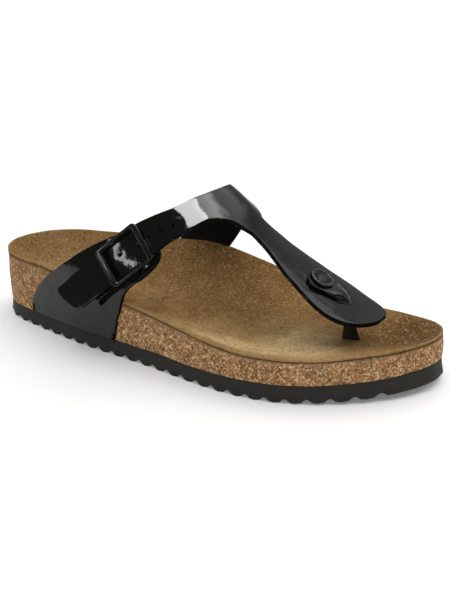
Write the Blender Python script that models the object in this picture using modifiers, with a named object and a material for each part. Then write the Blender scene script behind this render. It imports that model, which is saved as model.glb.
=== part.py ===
"""Right thong sandal: cork footbed, suede cover, lugged outsole, T-strap, side strap, buckle and toe post.

Lengths in the tables are millimetres in the shoe's own frame: x from the back of the heel to the toe,
y towards the big-toe side, z up from the floor. Objects are placed so that the row's origin is the middle
of the shoe's box, on the floor.
"""
import math

import bmesh
import bpy
import numpy as np
from mathutils import Matrix, Vector

for old in list(bpy.data.objects):
    bpy.data.objects.remove(old, do_unlink=True)

# ---- driving sizes, in millimetres -------------------------------------------------------------
MM = 0.001
GAP = 0.3                   # clearance between pieces that touch
LENGTH = 265.0              # heel to toe
SOLE_THICK = 8.5            # outsole, tread included
SOLE_INSET = 1.2            # how far the outsole's top edge stands in from its bottom edge
SPRING_FROM = 185.0         # where the toe starts to lift
SPRING = 4.6                # lift at the tip
GROOVE_PITCH = 9.8          # cross grooves of the tread
GROOVE_WIDE = 2.7
GROOVE_DEEP = 1.7
CHANNEL_WIDE = 3.0          # groove along the middle of the tread
CHANNEL_X = (34.0, 232.0)
COVER_THICK = 1.6           # suede cover
STRAP_THICK = 2.4
TAB_Z = 10.2                # height of the straps' inner path under the footbed
POST_Y = -2.6               # the toe post's line, a little outside the middle
POST_THICK = 1.3

# sole outline seen from above
OUTLINE = np.array([
    # x, y
    (0.0, -0.8), (10.7, -21.8), (38.5, -32.4), (79.8, -40.3), (124.8, -45.0), (167.8, -50.9),
    (204.9, -47.9), (234.1, -33.4), (256.1, -12.5), (265.0, 12.3), (253.2, 30.8), (228.3, 41.6),
    (190.0, 42.0), (147.9, 39.8), (105.0, 35.3), (60.0, 34.4), (14.0, 24.2)])

# footbed: rim heights on both sides and the cover's height along the middle
BED = np.array([
    # x, lateral rim, medial rim, middle, how broad the medial slope is
    (0, 38.9, 38.9, 26.0, 2.6),
    (30, 39.2, 39.0, 23.5, 2.6),
    (70, 38.7, 41.1, 24.5, 2.3),
    (110, 32.7, 44.3, 26.0, 1.6),
    (150, 27.8, 36.5, 22.0, 1.7),
    (190, 23.3, 23.6, 18.6, 2.4),
    (205, 23.2, 21.8, 20.0, 2.4),
    (222, 23.7, 20.9, 18.9, 2.4),
    (240, 25.0, 21.9, 18.8, 2.6),
    (265, 26.9, 26.9, 20.5, 2.6)], float)

# the last: ridge line of the instep and forefoot, and how round each side is
LAST = np.array([
    # x, ridge y, ridge height, lateral shoulder z, medial shoulder z, lateral bend, medial bend, medial crown
    (30, 0, 128, 40.0, 40.5, 0.68, 0.66, 1.12),
    (60, 0, 119, 39.6, 42.0, 0.68, 0.66, 1.12),
    (80, 0, 112, 38.3, 43.2, 0.68, 0.66, 1.12),
    (100, 0.5, 105, 35.4, 44.8, 0.68, 0.66, 1.12),
    (120, 1, 97.5, 32.8, 44.2, 0.67, 0.66, 1.12),
    (140, 2, 88.5, 30.6, 40.2, 0.66, 0.66, 1.12),
    (150, 2, 82.5, 29.5, 38.0, 0.63, 0.66, 1.12),
    (160, 1, 75.0, 28.4, 34.5, 0.60, 0.63, 1.20),
    (167, 0, 68.3, 27.6, 32.0, 0.53, 0.56, 1.5),
    (174, -1, 61.8, 26.8, 29.5, 0.46, 0.46, 1.8),
    (182, -2, 55.5, 25.9, 27.2, 0.41, 0.40, 2.0),
    (188.3, -2, 51.2, 25.2, 25.4, 0.37, 0.37, 2.0),
    (195.5, -2, 46.8, 25.0, 24.2, 0.36, 0.36, 2.0),
    (203.5, -2, 42.0, 25.1, 23.4, 0.36, 0.36, 2.0),
    (212.3, -2, 37.4, 25.3, 22.6, 0.36, 0.36, 2.0),
    (219, -2, 34.1, 25.6, 22.2, 0.36, 0.36, 2.0),
    (227, -2, 31.0, 25.9, 22.1, 0.36, 0.36, 2.0),
    (233, -2, 29.2, 26.1, 22.4, 0.36, 0.36, 2.0),
    (240, -2, 27.6, 26.5, 23.2, 0.36, 0.36, 2.0),
    (250, -2, 26.0, 27.0, 25.0, 0.36, 0.36, 2.0)], float)

# T-strap, cross band: one row per section, from the tail on the lateral side, over the instep, to the
# medial base. Each row gives the section's back end and front end as x and girth share: -1 is the lateral
# foot of the last, 0 its ridge, +1 the medial foot.
BAND = np.array([
    # back x, back share, front x, front share, inner face above the last
    (74.7, -0.828, 85.8, -0.865, 7.7),
    (71.9, -0.811, 88.2, -0.864, 7.4),
    (73.1, -0.798, 90.1, -0.851, 6.9),
    (77.5, -0.763, 94.5, -0.817, 5.8),
    (82.8, -0.720, 99.1, -0.782, 4.8),
    (88.0, -0.679, 103.8, -0.744, 3.9),
    (92.5, -0.632, 108.4, -0.702, 3.15),
    (99.3, -0.579, 114.2, -0.662, 2.7),
    (107.0, -0.519, 121.7, -0.607, 2.7),
    (114.1, -0.454, 129.0, -0.547, 2.7),
    (118.7, -0.406, 133.5, -0.488, 2.7),
    (123.6, -0.363, 139.0, -0.424, 2.7),
    (128.9, -0.322, 144.2, -0.371, 2.7),
    (134.0, -0.280, 149.2, -0.285, 2.7),
    (139.0, -0.215, 153.6, -0.228, 2.7),
    (143.2, -0.143, 159.3, -0.175, 2.7),
    (145.4, -0.080, 165.0, -0.142, 2.7),
    (146.2, -0.035, 165.8, -0.100, 2.7),
    (146.5, 0.005, 165.9, -0.058, 2.7),
    (146.2, 0.045, 165.7, -0.016, 2.7),
    (145.3, 0.090, 164.8, 0.024, 2.7),
    (143.3, 0.150, 159.5, 0.070, 2.7),
    (140.3, 0.215, 155.0, 0.155, 2.6),
    (136.2, 0.285, 150.6, 0.250, 2.3),
    (130.6, 0.365, 146.0, 0.350, 1.8),
    (122.9, 0.455, 140.6, 0.460, 1.2),
    (113.2, 0.545, 134.5, 0.560, 0.5),
    (104.0, 0.625, 127.2, 0.672, -0.4),
    (95.0, 0.700, 122.0, 0.738, -0.9),
    (86.0, 0.785, 117.8, 0.810, -1.3),
    (77.5, 0.870, 115.0, 0.880, -1.3),
    (71.0, 0.940, 113.6, 0.945, -1.3),
    (66.4, 1.000, 112.9, 1.000, -1.3),
    (67.0, 1.070, 112.0, 1.070, -1.3)])
ROOT = (16, 20)             # first and last row of the band that the front stem grows from

# T-strap, front stem and lobe
STEM = np.array([
    # x, lateral edge y, medial edge y
    (168.6, -10.5, 3.7),
    (172.8, -10.3, 5.9),
    (178.0, -11.0, 7.3),
    (184.0, -12.8, 9.1),
    (190.5, -15.2, 10.6),
    (197.5, -17.3, 12.0),
    (205.0, -19.5, 13.6),
    (211.5, -21.0, 14.1),
    (217.5, -21.1, 13.6),
    (223.0, -19.7, 12.8),
    (227.5, -16.9, 12.0),
    (231.3, -13.2, 10.4),
    (234.2, -8.5, 8.2),
    (235.9, -3.6, 5.4)])

# lateral side strap, from the tucked base to the tab behind the buckle
SIDE = np.array([
    # back x, back share, front x, front share, inner face above the last
    (38.5, -1.070, 102.0, -1.070, -1.3),
    (37.2, -1.000, 103.7, -1.000, -1.3),
    (38.0, -0.952, 104.7, -0.957, -1.3),
    (41.5, -0.905, 106.1, -0.902, -1.3),
    (46.6, -0.855, 108.2, -0.855, -1.2),
    (54.0, -0.803, 109.9, -0.806, -1.0),
    (62.5, -0.750, 112.6, -0.752, -0.7),
    (73.0, -0.686, 117.4, -0.701, -0.4),
    (83.1, -0.621, 123.5, -0.656, -0.1),
    (94.9, -0.551, 128.6, -0.605, 0.0),
    (103.2, -0.505, 131.4, -0.568, 0.0),
    (111.5, -0.468, 132.9, -0.531, 0.0),
    (118.5, -0.446, 132.6, -0.503, 0.0),
    (124.5, -0.444, 130.9, -0.483, 0.0),
    (127.3, -0.452, 129.4, -0.468, 0.0)])

# places on the strap pattern, as x and girth share
BUCKLE_AT = (114.52, -0.5608)
BUCKLE_AHEAD = (122.87, -0.4775)
SLOTS = (((96.0, -0.838), (122.4, -0.615)), ((88.0, -0.748), (107.2, -0.505)))
SLOT_WIDE = 3.1

# buckle, in its own axes: u along the strap towards the instep, v across to the front, w outwards
WINDOW = (22.0, 19.8)
BAR_LOW = 3.4               # bar over the tail
BAR_HIGH = 3.0              # bar over the instep end
BAR_SIDE = 2.0
FRAME_THICK = 1.7
FRAME_LEVEL = 6.95           # middle of the frame above the last
CENTRE_BAR_R = 0.85
CENTRE_BAR_LEVEL = -1.4     # the centre bar runs under the side strap's bridge
PRONG_R = 0.7
PRONG_REACH = 9.6
PRONG_HOLE_R = 1.3
OUTER_CORNER = 2.6          # corner radii of the frame
INNER_CORNER = 0.7
CORNER_STEPS = 3
EASE = 0.5                  # chamfer of the frame's edges

# toe post: a strip that lies on the lobe under the button, folds lengthwise and turns down to the sole
POST = np.array([
    # ridge x, height over the lobe or z, 1 where it is a plain z, hem x and z from the ridge,
    # half width at the ridge and at the hem
    (196.3, 0.0, 0, 0.0, 0.0, 0.6, 1.6),
    (196.9, 0.0, 0, 0.0, 0.0, 1.6, 4.4),
    (198.2, 0.0, 0, 0.0, 0.0, 2.6, 7.0),
    (200.2, 0.0, 0, 0.0, 0.0, 3.0, 8.8),
    (202.4, 0.0, 0, 0.0, 0.0, 3.0, 9.2),
    (204.6, 0.0, 0, 0.0, 0.0, 2.8, 8.7),
    (206.6, 0.0, 0, 0.0, 0.0, 2.4, 7.6),
    (208.4, 0.0, 0, 0.0, 0.0, 1.9, 6.3),
    (213.5, 43.9, 1, 0.0, -0.9, 1.4, 5.1),
    (215.4, 43.8, 1, -0.1, -2.2, 0.9, 3.9),
    (216.9, 43.5, 1, -0.8, -3.5, 0.5, 2.4),
    (217.9, 43.0, 1, -1.6, -4.1, 0.3, 1.2),
    (218.6, 42.1, 1, -2.3, -4.0, 0.2, 0.6),
    (218.9, 40.8, 1, -2.8, -3.4, 0.2, 0.5),
    (219.1, 39.0, 1, -3.3, -2.4, 0.2, 0.5),
    (219.5, 36.8, 1, -3.8, -1.2, 0.2, 0.5),
    (220.6, 33.8, 1, -4.2, 0.0, 0.2, 0.5),
    (221.9, 31.0, 1, -4.2, 0.2, 0.2, 0.5),
    (222.9, 28.5, 1, -4.2, 0.2, 0.3, 0.6),
    (223.9, 24.6, 1, -5.3, 0.1, 0.4, 0.9),
    (224.8, 21.8, 1, -6.2, 0.0, 0.7, 1.5),
    (225.8, 19.2, 1, -7.1, -0.2, 0.9, 2.0),
    (226.4, 16.6, 1, -7.4, 0.0, 1.0, 2.2),
    (226.9, 13.4, 1, -7.6, 0.0, 1.0, 2.3)])
# slit in the lobe that the folded strip goes down through
LOBE_SLIT = np.array([
    # x, half width
    (213.6, 3.6), (214.7, 5.0), (215.9, 5.0), (217.2, 3.6), (218.4, 2.3), (222.6, 2.1)])
BED_SLIT = (217.9, 229.0, 9.0)      # from x, to x, width
BED_SLIT_Z = 12.6
BUTTON_X = 201.9
BUTTON_R = 6.3
BUTTON_THICK = 1.5
SHANK_R = 1.9
PLATE_R = 5.0
PLATE_THICK = 1.0


# ---- small maths -------------------------------------------------------------------------------
def closed_curve(points, count):
    """Smooth closed curve through the points, evenly sampled between them."""
    steps = np.hypot(*(np.roll(points, -1, axis=0) - points).T)
    slopes = (np.roll(points, -1, axis=0) - points) / steps[:, None]
    size = len(points)
    matrix = np.zeros((size, size))
    for i in range(size):
        matrix[i, i - 1] = steps[i]
        matrix[i, i] = 2 * (steps[i] + steps[i - 1])
        matrix[i, (i + 1) % size] = steps[i - 1]
    rhs = 3 * (steps[:, None] * np.roll(slopes, 1, axis=0) + np.roll(steps, 1)[:, None] * slopes)
    tangents = np.linalg.solve(matrix, rhs)
    starts = np.concatenate([[0], np.cumsum(steps)])
    along = np.linspace(0, starts[-1], count, endpoint=False)
    k = np.clip(np.searchsorted(starts, along, side="right") - 1, 0, size - 1)
    t = ((along - starts[k]) / steps[k])[:, None]
    nxt = (k + 1) % size
    length = steps[k][:, None]
    return ((2 * t**3 - 3 * t**2 + 1) * points[k] + (t**3 - 2 * t**2 + t) * length * tangents[k]
            + (3 * t**2 - 2 * t**3) * points[nxt] + (t**3 - t**2) * length * tangents[nxt])


def smooth(table, column, x):
    """Value of one table column at x, on a smooth curve that never overshoots its rows."""
    xs = table[:, 0]
    ys = table[:, column]
    step = np.diff(xs)
    slope = np.diff(ys) / step
    tangent = np.zeros(len(xs))
    same = slope[:-1] * slope[1:] > 0
    safe = np.where(same, slope[:-1] * slope[1:], 1.0)
    tangent[1:-1] = np.where(same, 2 * safe / np.where(same, slope[:-1] + slope[1:], 1.0), 0.0)
    tangent[0] = slope[0]
    tangent[-1] = slope[-1]
    x = np.clip(x, xs[0], xs[-1])
    k = np.clip(np.searchsorted(xs, x, side="right") - 1, 0, len(xs) - 2)
    t = (x - xs[k]) / step[k]
    return ((2 * t**3 - 3 * t**2 + 1) * ys[k] + (t**3 - 2 * t**2 + t) * step[k] * tangent[k]
            + (3 * t**2 - 2 * t**3) * ys[k + 1] + (t**3 - t**2) * step[k] * tangent[k + 1])


def refine(table, parts):
    """The table's rows with smooth rows put in between, parts steps from row to row."""
    if parts == 1:
        return table
    padded = np.vstack([2 * table[0] - table[1], table, 2 * table[-1] - table[-2]])
    rows = []
    for i in range(len(table) - 1):
        a, b, c, d = padded[i:i + 4]
        for step in range(parts):
            t = step / parts
            rows.append(0.5 * (2 * b + (c - a) * t + (2 * a - 5 * b + 4 * c - d) * t**2
                               + (3 * b - a - 3 * c + d) * t**3))
    rows.append(table[-1])
    return np.array(rows)


# ---- outline and heights -----------------------------------------------------------------------
CURVE = closed_curve(OUTLINE, 2400)
CURVE = np.roll(CURVE, -int(np.argmin(CURVE[:, 0])), axis=0)
TIP = int(np.argmax(CURVE[:, 0]))
LATERAL = CURVE[:TIP + 1]
MEDIAL = np.vstack([CURVE[TIP:], CURVE[:1]])[::-1]
BOX_MIN = CURVE.min(axis=0)
BOX_MAX = CURVE.max(axis=0)
CENTRE = (BOX_MIN + BOX_MAX) / 2


def edge(x, side):
    """y of the outline at x; side -1 is lateral, +1 medial."""
    line = LATERAL if side < 0 else MEDIAL
    return np.interp(x, line[:, 0], line[:, 1])


def spring(x):
    """Lift of the sole's underside at x."""
    return SPRING * (np.maximum(x - SPRING_FROM, 0) / (LENGTH - SPRING_FROM))**2


def inset(x, y, amount):
    """A point of the outline moved inwards, by scaling about the middle of the box."""
    share = 1 - amount / ((BOX_MAX - BOX_MIN) / 2)
    return CENTRE[0] + (x - CENTRE[0]) * share[0], CENTRE[1] + (y - CENTRE[1]) * share[1]


# ---- the last ----------------------------------------------------------------------------------
def girth(x, side):
    """Half a cross-section of the last at x: y, z and length from the ridge down to the base."""
    wall = edge(x, side) - side * SOLE_INSET
    ridge = smooth(LAST, 1, x)
    top = smooth(LAST, 2, x)
    shoulder = smooth(LAST, 3 if side < 0 else 4, x)
    bend = smooth(LAST, 5 if side < 0 else 6, x)
    crown = 2.0 if side < 0 else smooth(LAST, 7, x)
    across = np.sin(np.linspace(0, math.pi / 2, 120))
    ys = np.append(ridge + (wall - ridge) * across, wall)
    zs = np.append(shoulder + (top - shoulder) * np.maximum(1 - across**crown, 0)**bend, TAB_Z)
    run = np.concatenate([[0], np.cumsum(np.hypot(np.diff(ys), np.diff(zs)))])
    return ys, zs, run


def last(x, share):
    """Point on the last; beyond a share of 1 the path turns in under the footbed."""
    side = -1 if share < 0 else 1
    ys, zs, run = girth(x, side)
    reach = abs(share) * run[-1]
    y = np.interp(reach, run, ys) - side * max(reach - run[-1], 0)
    return np.array([x, y, np.interp(reach, run, zs)])


def share_at(x, y):
    """Girth share of the place on the last that lies above y."""
    ridge = smooth(LAST, 1, x)
    side = -1 if y < ridge else 1
    ys, zs, run = girth(x, side)
    return side * np.interp(abs(y - ridge), np.abs(ys - ridge)[:-1], run[:-1]) / run[-1]


def outward(x, share):
    """Unit normal of the last, away from the foot."""
    along = last(x + 1, share) - last(x - 1, share)
    low = min(share + 0.008, 1.12)
    high = max(share - 0.008, -1.12)
    if abs(share) < 1:
        low = min(low, 0.999)
        high = max(high, -0.999)
    around = last(x, low) - last(x, high)
    normal = np.cross(along, around)
    return normal / np.linalg.norm(normal)


def lifted(x, share, height):
    """Point at a height above the last; at its foot the corner is mitred."""
    mitre = math.sqrt(2) if abs(share) == 1 else 1.0
    return last(x, share) + outward(x, share) * height * mitre


# ---- mesh helpers ------------------------------------------------------------------------------
parts_box = bpy.data.collections.new("thong_sandal")
cutters_box = bpy.data.collections.new("cutters")
bpy.context.scene.collection.children.link(parts_box)
bpy.context.scene.collection.children.link(cutters_box)


def make_material(name, colour, roughness, metallic=0.0):
    material = bpy.data.materials.new(name)
    material.use_nodes = True
    shader = material.node_tree.nodes["Principled BSDF"]
    shader.inputs["Base Color"].default_value = (*colour, 1.0)
    shader.inputs["Roughness"].default_value = roughness
    shader.inputs["Metallic"].default_value = metallic
    return material


def add_object(name, points, faces, material=None, closed=True):
    """One mesh object from millimetre points; cutters get no material and stay hidden."""
    mesh = bpy.data.meshes.new(name)
    mesh.from_pydata([tuple(np.asarray(p, float) * MM) for p in points], [], faces)
    work = bmesh.new()
    work.from_mesh(mesh)
    bmesh.ops.remove_doubles(work, verts=work.verts, dist=0.00001)
    bmesh.ops.dissolve_degenerate(work, edges=work.edges, dist=0.00001)
    if closed:
        bmesh.ops.recalc_face_normals(work, faces=work.faces)
    work.to_mesh(mesh)
    work.free()
    item = keep_mesh(name, mesh, material)
    item.location = (-CENTRE[0] * MM, -CENTRE[1] * MM, 0.0)
    return item


def cut(item, cutter):
    """Take a cutter's shape out of a part."""
    step = item.modifiers.new("cut_" + cutter.name, "BOOLEAN")
    step.operation = "DIFFERENCE"
    step.solver = "EXACT"
    step.object = cutter


def join_with(item, other):
    """Weld another shape onto a part."""
    step = item.modifiers.new("weld_" + other.name, "BOOLEAN")
    step.operation = "UNION"
    step.solver = "EXACT"
    step.object = other


def grid_faces(rows, columns, start=0, turned_over=False):
    """Quads of a grid whose points are stored row by row."""
    faces = []
    for r in range(rows - 1):
        for c in range(columns - 1):
            a = start + r * columns + c
            quad = (a, a + columns, a + columns + 1, a + 1)
            faces.append(quad[::-1] if turned_over else quad)
    return faces


def thicken(item, thickness):
    """Give a sheet its material thickness, on the side away from the foot."""
    step = item.modifiers.new("thickness", "SOLIDIFY")
    step.thickness = thickness * MM
    step.offset = 1.0
    step.use_even_offset = True
    step.use_quality_normals = True
    return item


def split_quads(points, quads):
    """Triangles in place of quads, each cut along its shorter diagonal."""
    triangles = []
    for a, b, c, d in quads:
        one = np.linalg.norm(np.subtract(points[a], points[c]))
        two = np.linalg.norm(np.subtract(points[b], points[d]))
        if one < two:
            triangles += [(a, b, c), (a, c, d)]
        else:
            triangles += [(b, c, d), (b, d, a)]
    return triangles


def ring_solid(name, first, rings, final, material):
    """Closed solid from a line of points, rings of points round it and a closing line."""
    half = len(first) - 1
    count = 2 * half
    points = [p for ring in rings for p in ring]
    faces = []
    for k in range(len(rings) - 1):
        for i in range(count):
            j = (i + 1) % count
            faces.append((k * count + i, k * count + j, (k + 1) * count + j, (k + 1) * count + i))
    for line, base in ((first, 0), (final, (len(rings) - 1) * count)):
        start = len(points)
        points += list(line)
        for i in range(half):
            faces.append((base + i, base + i + 1, start + i + 1, start + i))
            faces.append((base + (count - i) % count, start + i, start + i + 1, base + count - i - 1))
    return add_object(name, points, split_quads(points, faces), material)


def as_mesh(item, material=None):
    """A curve object made into a mesh object, its caps welded to its sides."""
    bpy.context.view_layer.update()
    depsgraph = bpy.context.evaluated_depsgraph_get()
    mesh = bpy.data.meshes.new_from_object(item.evaluated_get(depsgraph))
    work = bmesh.new()
    work.from_mesh(mesh)
    bmesh.ops.remove_doubles(work, verts=work.verts, dist=0.000005)
    bmesh.ops.recalc_face_normals(work, faces=work.faces)
    work.to_mesh(mesh)
    work.free()
    name = item.name
    bpy.data.objects.remove(item, do_unlink=True)
    return keep_mesh(name, mesh, material)


def keep_mesh(name, mesh, material=None):
    """An object for a finished mesh; without a material it is a cutter."""
    mesh.materials.clear()
    mesh.name = name
    item = bpy.data.objects.new(name, mesh)
    if material is None:
        cutters_box.objects.link(item)
        item.display_type = "WIRE"
        item.hide_render = True
    else:
        parts_box.objects.link(item)
        mesh.materials.append(material)
    return item


def new_curve(name, dimensions, lines, closed):
    """Curve object with one straight-pieced spline for each line of millimetre points."""
    curve = bpy.data.curves.new(name, "CURVE")
    curve.dimensions = dimensions
    for line in lines:
        spline = curve.splines.new("POLY")
        spline.points.add(len(line) - 1)
        for target, point in zip(spline.points, line):
            x, y, z = (*point, 0.0)[:3]
            target.co = (x * MM, y * MM, z * MM, 1.0)
        spline.use_cyclic_u = closed
    item = bpy.data.objects.new(name, curve)
    parts_box.objects.link(item)
    return item


def bar(name, path, radius, material=None):
    """Round bar along a path, its ends capped."""
    item = new_curve(name, "3D", [path], False)
    item.data.bevel_depth = radius * MM
    item.data.bevel_resolution = 2
    item.data.use_fill_caps = True
    return as_mesh(item, material)


def plate(name, outlines, low, high, material=None):
    """Flat piece between two heights over an outline; further outlines are its openings."""
    item = new_curve(name, "2D", outlines, True)
    item.data.fill_mode = "BOTH"
    item.data.extrude = (high - low) / 2 * MM
    made = as_mesh(item, material)
    made.data.transform(Matrix.Translation((0.0, 0.0, (low + high) / 2 * MM)))
    return made


def turned(name, profile, steps, material):
    """Round solid about +Z: a profile of radius and height spun by a Screw modifier."""
    mesh = bpy.data.meshes.new(name)
    points = [(radius * MM, 0.0, height * MM) for radius, height in profile]
    mesh.from_pydata(points, [(i, i + 1) for i in range(len(points) - 1)], [])
    item = keep_mesh(name, mesh, material)
    spin = item.modifiers.new("spin", "SCREW")
    spin.steps = steps
    spin.render_steps = steps
    spin.use_merge_vertices = True
    spin.merge_threshold = 0.000005
    return item


def drill(name, low, high, radius):
    """Cutter for a round hole along w in a seat's own axes."""
    mesh = bpy.data.meshes.new(name)
    work = bmesh.new()
    middle = Matrix.Translation((0.0, 0.0, (low + high) / 2 * MM))
    bmesh.ops.create_cone(work, cap_ends=True, segments=16, radius1=radius * MM, radius2=radius * MM,
                          depth=(high - low) * MM, matrix=middle)
    work.to_mesh(mesh)
    work.free()
    return keep_mesh(name, mesh)


def block(name, low, high):
    """Box-shaped cutter between two corners."""
    mesh = bpy.data.meshes.new(name)
    work = bmesh.new()
    size = (Vector(high) - Vector(low)) * MM
    middle = Matrix.Translation((Vector(high) + Vector(low)) / 2 * MM)
    bmesh.ops.create_cube(work, size=1.0, matrix=middle @ Matrix.Diagonal((*size, 1.0)))
    work.to_mesh(mesh)
    work.free()
    return place(keep_mesh(name, mesh), Matrix.Identity(4))


def place(item, matrix):
    """Stand an object built in its own axes at a place given in the shoe's frame."""
    shift = Matrix.Translation((-CENTRE[0] * MM, -CENTRE[1] * MM, 0.0))
    item.matrix_world = shift @ matrix
    return item


def seat(origin, forward, normal):
    """Matrix of a seat in the shoe's frame: u forward, w along the normal, v to complete it."""
    w = Vector(normal).normalized()
    u = Vector(forward)
    u = (u - w * u.dot(w)).normalized()
    v = w.cross(u)
    matrix = Matrix.Identity(4)
    for row in range(3):
        matrix[row][0] = u[row]
        matrix[row][1] = v[row]
        matrix[row][2] = w[row]
        matrix[row][3] = origin[row] * MM
    return matrix


# ---- materials ---------------------------------------------------------------------------------
foam_black = make_material("foam_black", (0.012, 0.012, 0.012), 0.75)
cork = make_material("cork", (0.50, 0.32, 0.19), 0.85)
suede_tan = make_material("suede_tan", (0.36, 0.22, 0.10), 0.95)
patent_black = make_material("patent_black", (0.006, 0.006, 0.007), 0.12)
buckle_black = make_material("buckle_black", (0.010, 0.010, 0.011), 0.20)
button_black = make_material("button_black", (0.014, 0.014, 0.015), 0.30)

# ---- outsole: cross sections lofted along the foot ------------------------------------------------
grooves = np.arange(12.0, LENGTH - 9.0, GROOVE_PITCH)
stations = [(x, 0.0) for x in (0.1, 0.9, 2.8, 6.0)]
for x in grooves:
    stations += [(x - GROOVE_WIDE / 2, 0.0), (x - GROOVE_WIDE / 2, GROOVE_DEEP)]
    stations += [(x + GROOVE_WIDE / 2, GROOVE_DEEP), (x + GROOVE_WIDE / 2, 0.0)]
stations += [(LENGTH - x, 0.0) for x in (6.0, 2.8, 0.9, 0.1)]
points = []
for x, depth in stations:
    ends = (edge(x, -1), edge(x, 1))
    middle = (ends[0] + ends[1]) / 2
    width = ends[1] - ends[0]
    tuck = min(0.5, 0.2 * width) if depth else 0.0
    half = min(CHANNEL_WIDE / 2, 0.2 * width)
    deep = GROOVE_DEEP if depth or CHANNEL_X[0] < x < CHANNEL_X[1] else 0.0
    lift = spring(x)
    for y, z in ((ends[0] + tuck, depth), (middle - half, depth), (middle - half, deep),
                 (middle + half, deep), (middle + half, depth), (ends[1] - tuck, depth)):
        points.append((x, y, z + lift))
    for y in (ends[1], ends[0]):
        top_x, top_y = inset(x, y, SOLE_INSET)
        points.append((top_x, top_y, SOLE_THICK + spring(top_x)))
faces = []
for r in range(len(stations) - 1):
    for c in range(8):
        n = (c + 1) % 8
        faces.append((r * 8 + c, (r + 1) * 8 + c, (r + 1) * 8 + n, r * 8 + n))
faces += [tuple(range(8)), tuple(range(len(points) - 8, len(points)))]
outsole = add_object("outsole", points, faces, foam_black)

# ---- footbed and suede cover: rings of points from the rim to a line along the middle ------------
STEPS = 36
RINGS = (0.78, 0.60, 0.45, 0.32, 0.21, 0.12, 0.055, 0.018)
MOUNDS = np.array([
    # x, y, height, spread along, spread across
    (158.0, -4.0, 1.6, 15.0, 12.0),
    (223.0, -2.6, 0.9, 10.0, 11.0)])
stations_x = LENGTH / 2 * (1 - np.cos(math.pi * np.arange(STEPS + 1) / STEPS))


def spine(x):
    """Point of the middle line that the rim at x runs down to."""
    along = 27.0 + (LENGTH - 52.0) * x / LENGTH
    return along, (edge(along, -1) + edge(along, 1)) / 2


def bed_point(x, side, depth, drop):
    """Point of the cover's face: depth 0 at the rim, 1 on the middle line; drop is how far below."""
    rim_x, rim_y = inset(x, edge(x, side), SOLE_INSET)
    mid_x, mid_y = spine(x)
    rim_z = smooth(BED, 1 if side < 0 else 2, x)
    broad = 2.6 if side < 0 else smooth(BED, 4, x)
    share = (1 - depth**1.15)**broad
    px = rim_x + (mid_x - rim_x) * depth
    py = rim_y + (mid_y - rim_y) * depth
    mid_z = smooth(BED, 3, mid_x)
    pz = mid_z + (rim_z - mid_z) * share - drop
    for mx, my, height, along, across in MOUNDS:
        pz += height * math.exp(-((px - mx) / along)**2 / 2 - ((py - my) / across)**2 / 2)
    return np.array([px, py, pz])


def bed_ring(depth, drop):
    """One ring, lateral side from heel to toe and back along the medial side."""
    ring = [bed_point(x, -1, depth, drop) for x in stations_x]
    return ring + [bed_point(x, 1, depth, drop) for x in stations_x[-2:0:-1]]


def bed_line(drop):
    """The middle line of the bed."""
    return [bed_point(x, -1, 1.0, drop) for x in stations_x]


def wall_ring(bulge, height):
    """Ring of the footbed's wall just above the outsole or part way up."""
    ring = []
    for x in list(stations_x) + list(stations_x[-2:0:-1]):
        side = -1 if len(ring) <= STEPS else 1
        wx, wy = inset(x, edge(x, side), SOLE_INSET - bulge)
        foot = SOLE_THICK + GAP + spring(wx)
        top = smooth(BED, 1 if side < 0 else 2, x) - COVER_THICK - GAP
        ring.append((wx, wy, foot + (top - foot) * height))
    return ring


foot_line = [(*spine(x), SOLE_THICK + GAP + spring(spine(x)[0])) for x in stations_x]
under = COVER_THICK + GAP
footbed = ring_solid("footbed", bed_line(under),
                     [bed_ring(depth, under) for depth in RINGS] + [bed_ring(0.0, under + 0.1)]
                     + [wall_ring(0.3, 0.55), wall_ring(0.0, 0.0)], foot_line, cork)
insole = ring_solid("insole", bed_line(0.0),
                    [bed_ring(depth, 0.0) for depth in RINGS] + [bed_ring(0.0, 0.5)]
                    + [bed_ring(0.0, COVER_THICK)] + [bed_ring(depth, COVER_THICK) for depth in RINGS[::-1]],
                    bed_line(COVER_THICK), suede_tan)

# ---- T-strap ----------------------------------------------------------------------------------
ACROSS = 4                  # quads across a strap


def band_points(table, across, grow=0.0, sink=0.0):
    """Grid of points for a strap whose rows cross it."""
    points = []
    for back_x, back_share, front_x, front_share, level in table:
        for k in range(across + 1):
            t = k / across
            x = back_x - grow + (front_x - back_x + 2 * grow) * t
            share = back_share + (front_share - back_share) * t
            points.append(lifted(x, share, level - sink))
    return points


def strap(name, table, material):
    """A strap as a sheet over the last."""
    points = band_points(table, ACROSS)
    faces = grid_faces(len(table), ACROSS + 1, 0, True)
    return add_object(name, points, faces, material, closed=False)


columns = ACROSS + 1
points = band_points(BAND, ACROSS)
faces = grid_faces(len(BAND), columns, 0, True)
root = [points[row * columns + ACROSS] for row in range(ROOT[0], ROOT[1] + 1)]
start = len(points)
points += root
for x, lateral_y, medial_y in STEM:
    for k in range(len(root)):
        y = lateral_y + (medial_y - lateral_y) * k / (len(root) - 1)
        points.append(lifted(x, share_at(x, y), BAND[ROOT[0], 4]))
faces += grid_faces(len(STEM) + 1, len(root), start)
upper = thicken(add_object("upper", points, faces, patent_black, closed=False), STRAP_THICK)

# ---- side strap --------------------------------------------------------------------------------
lateral_strap = thicken(strap("lateral_strap", SIDE, patent_black), STRAP_THICK)

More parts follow.
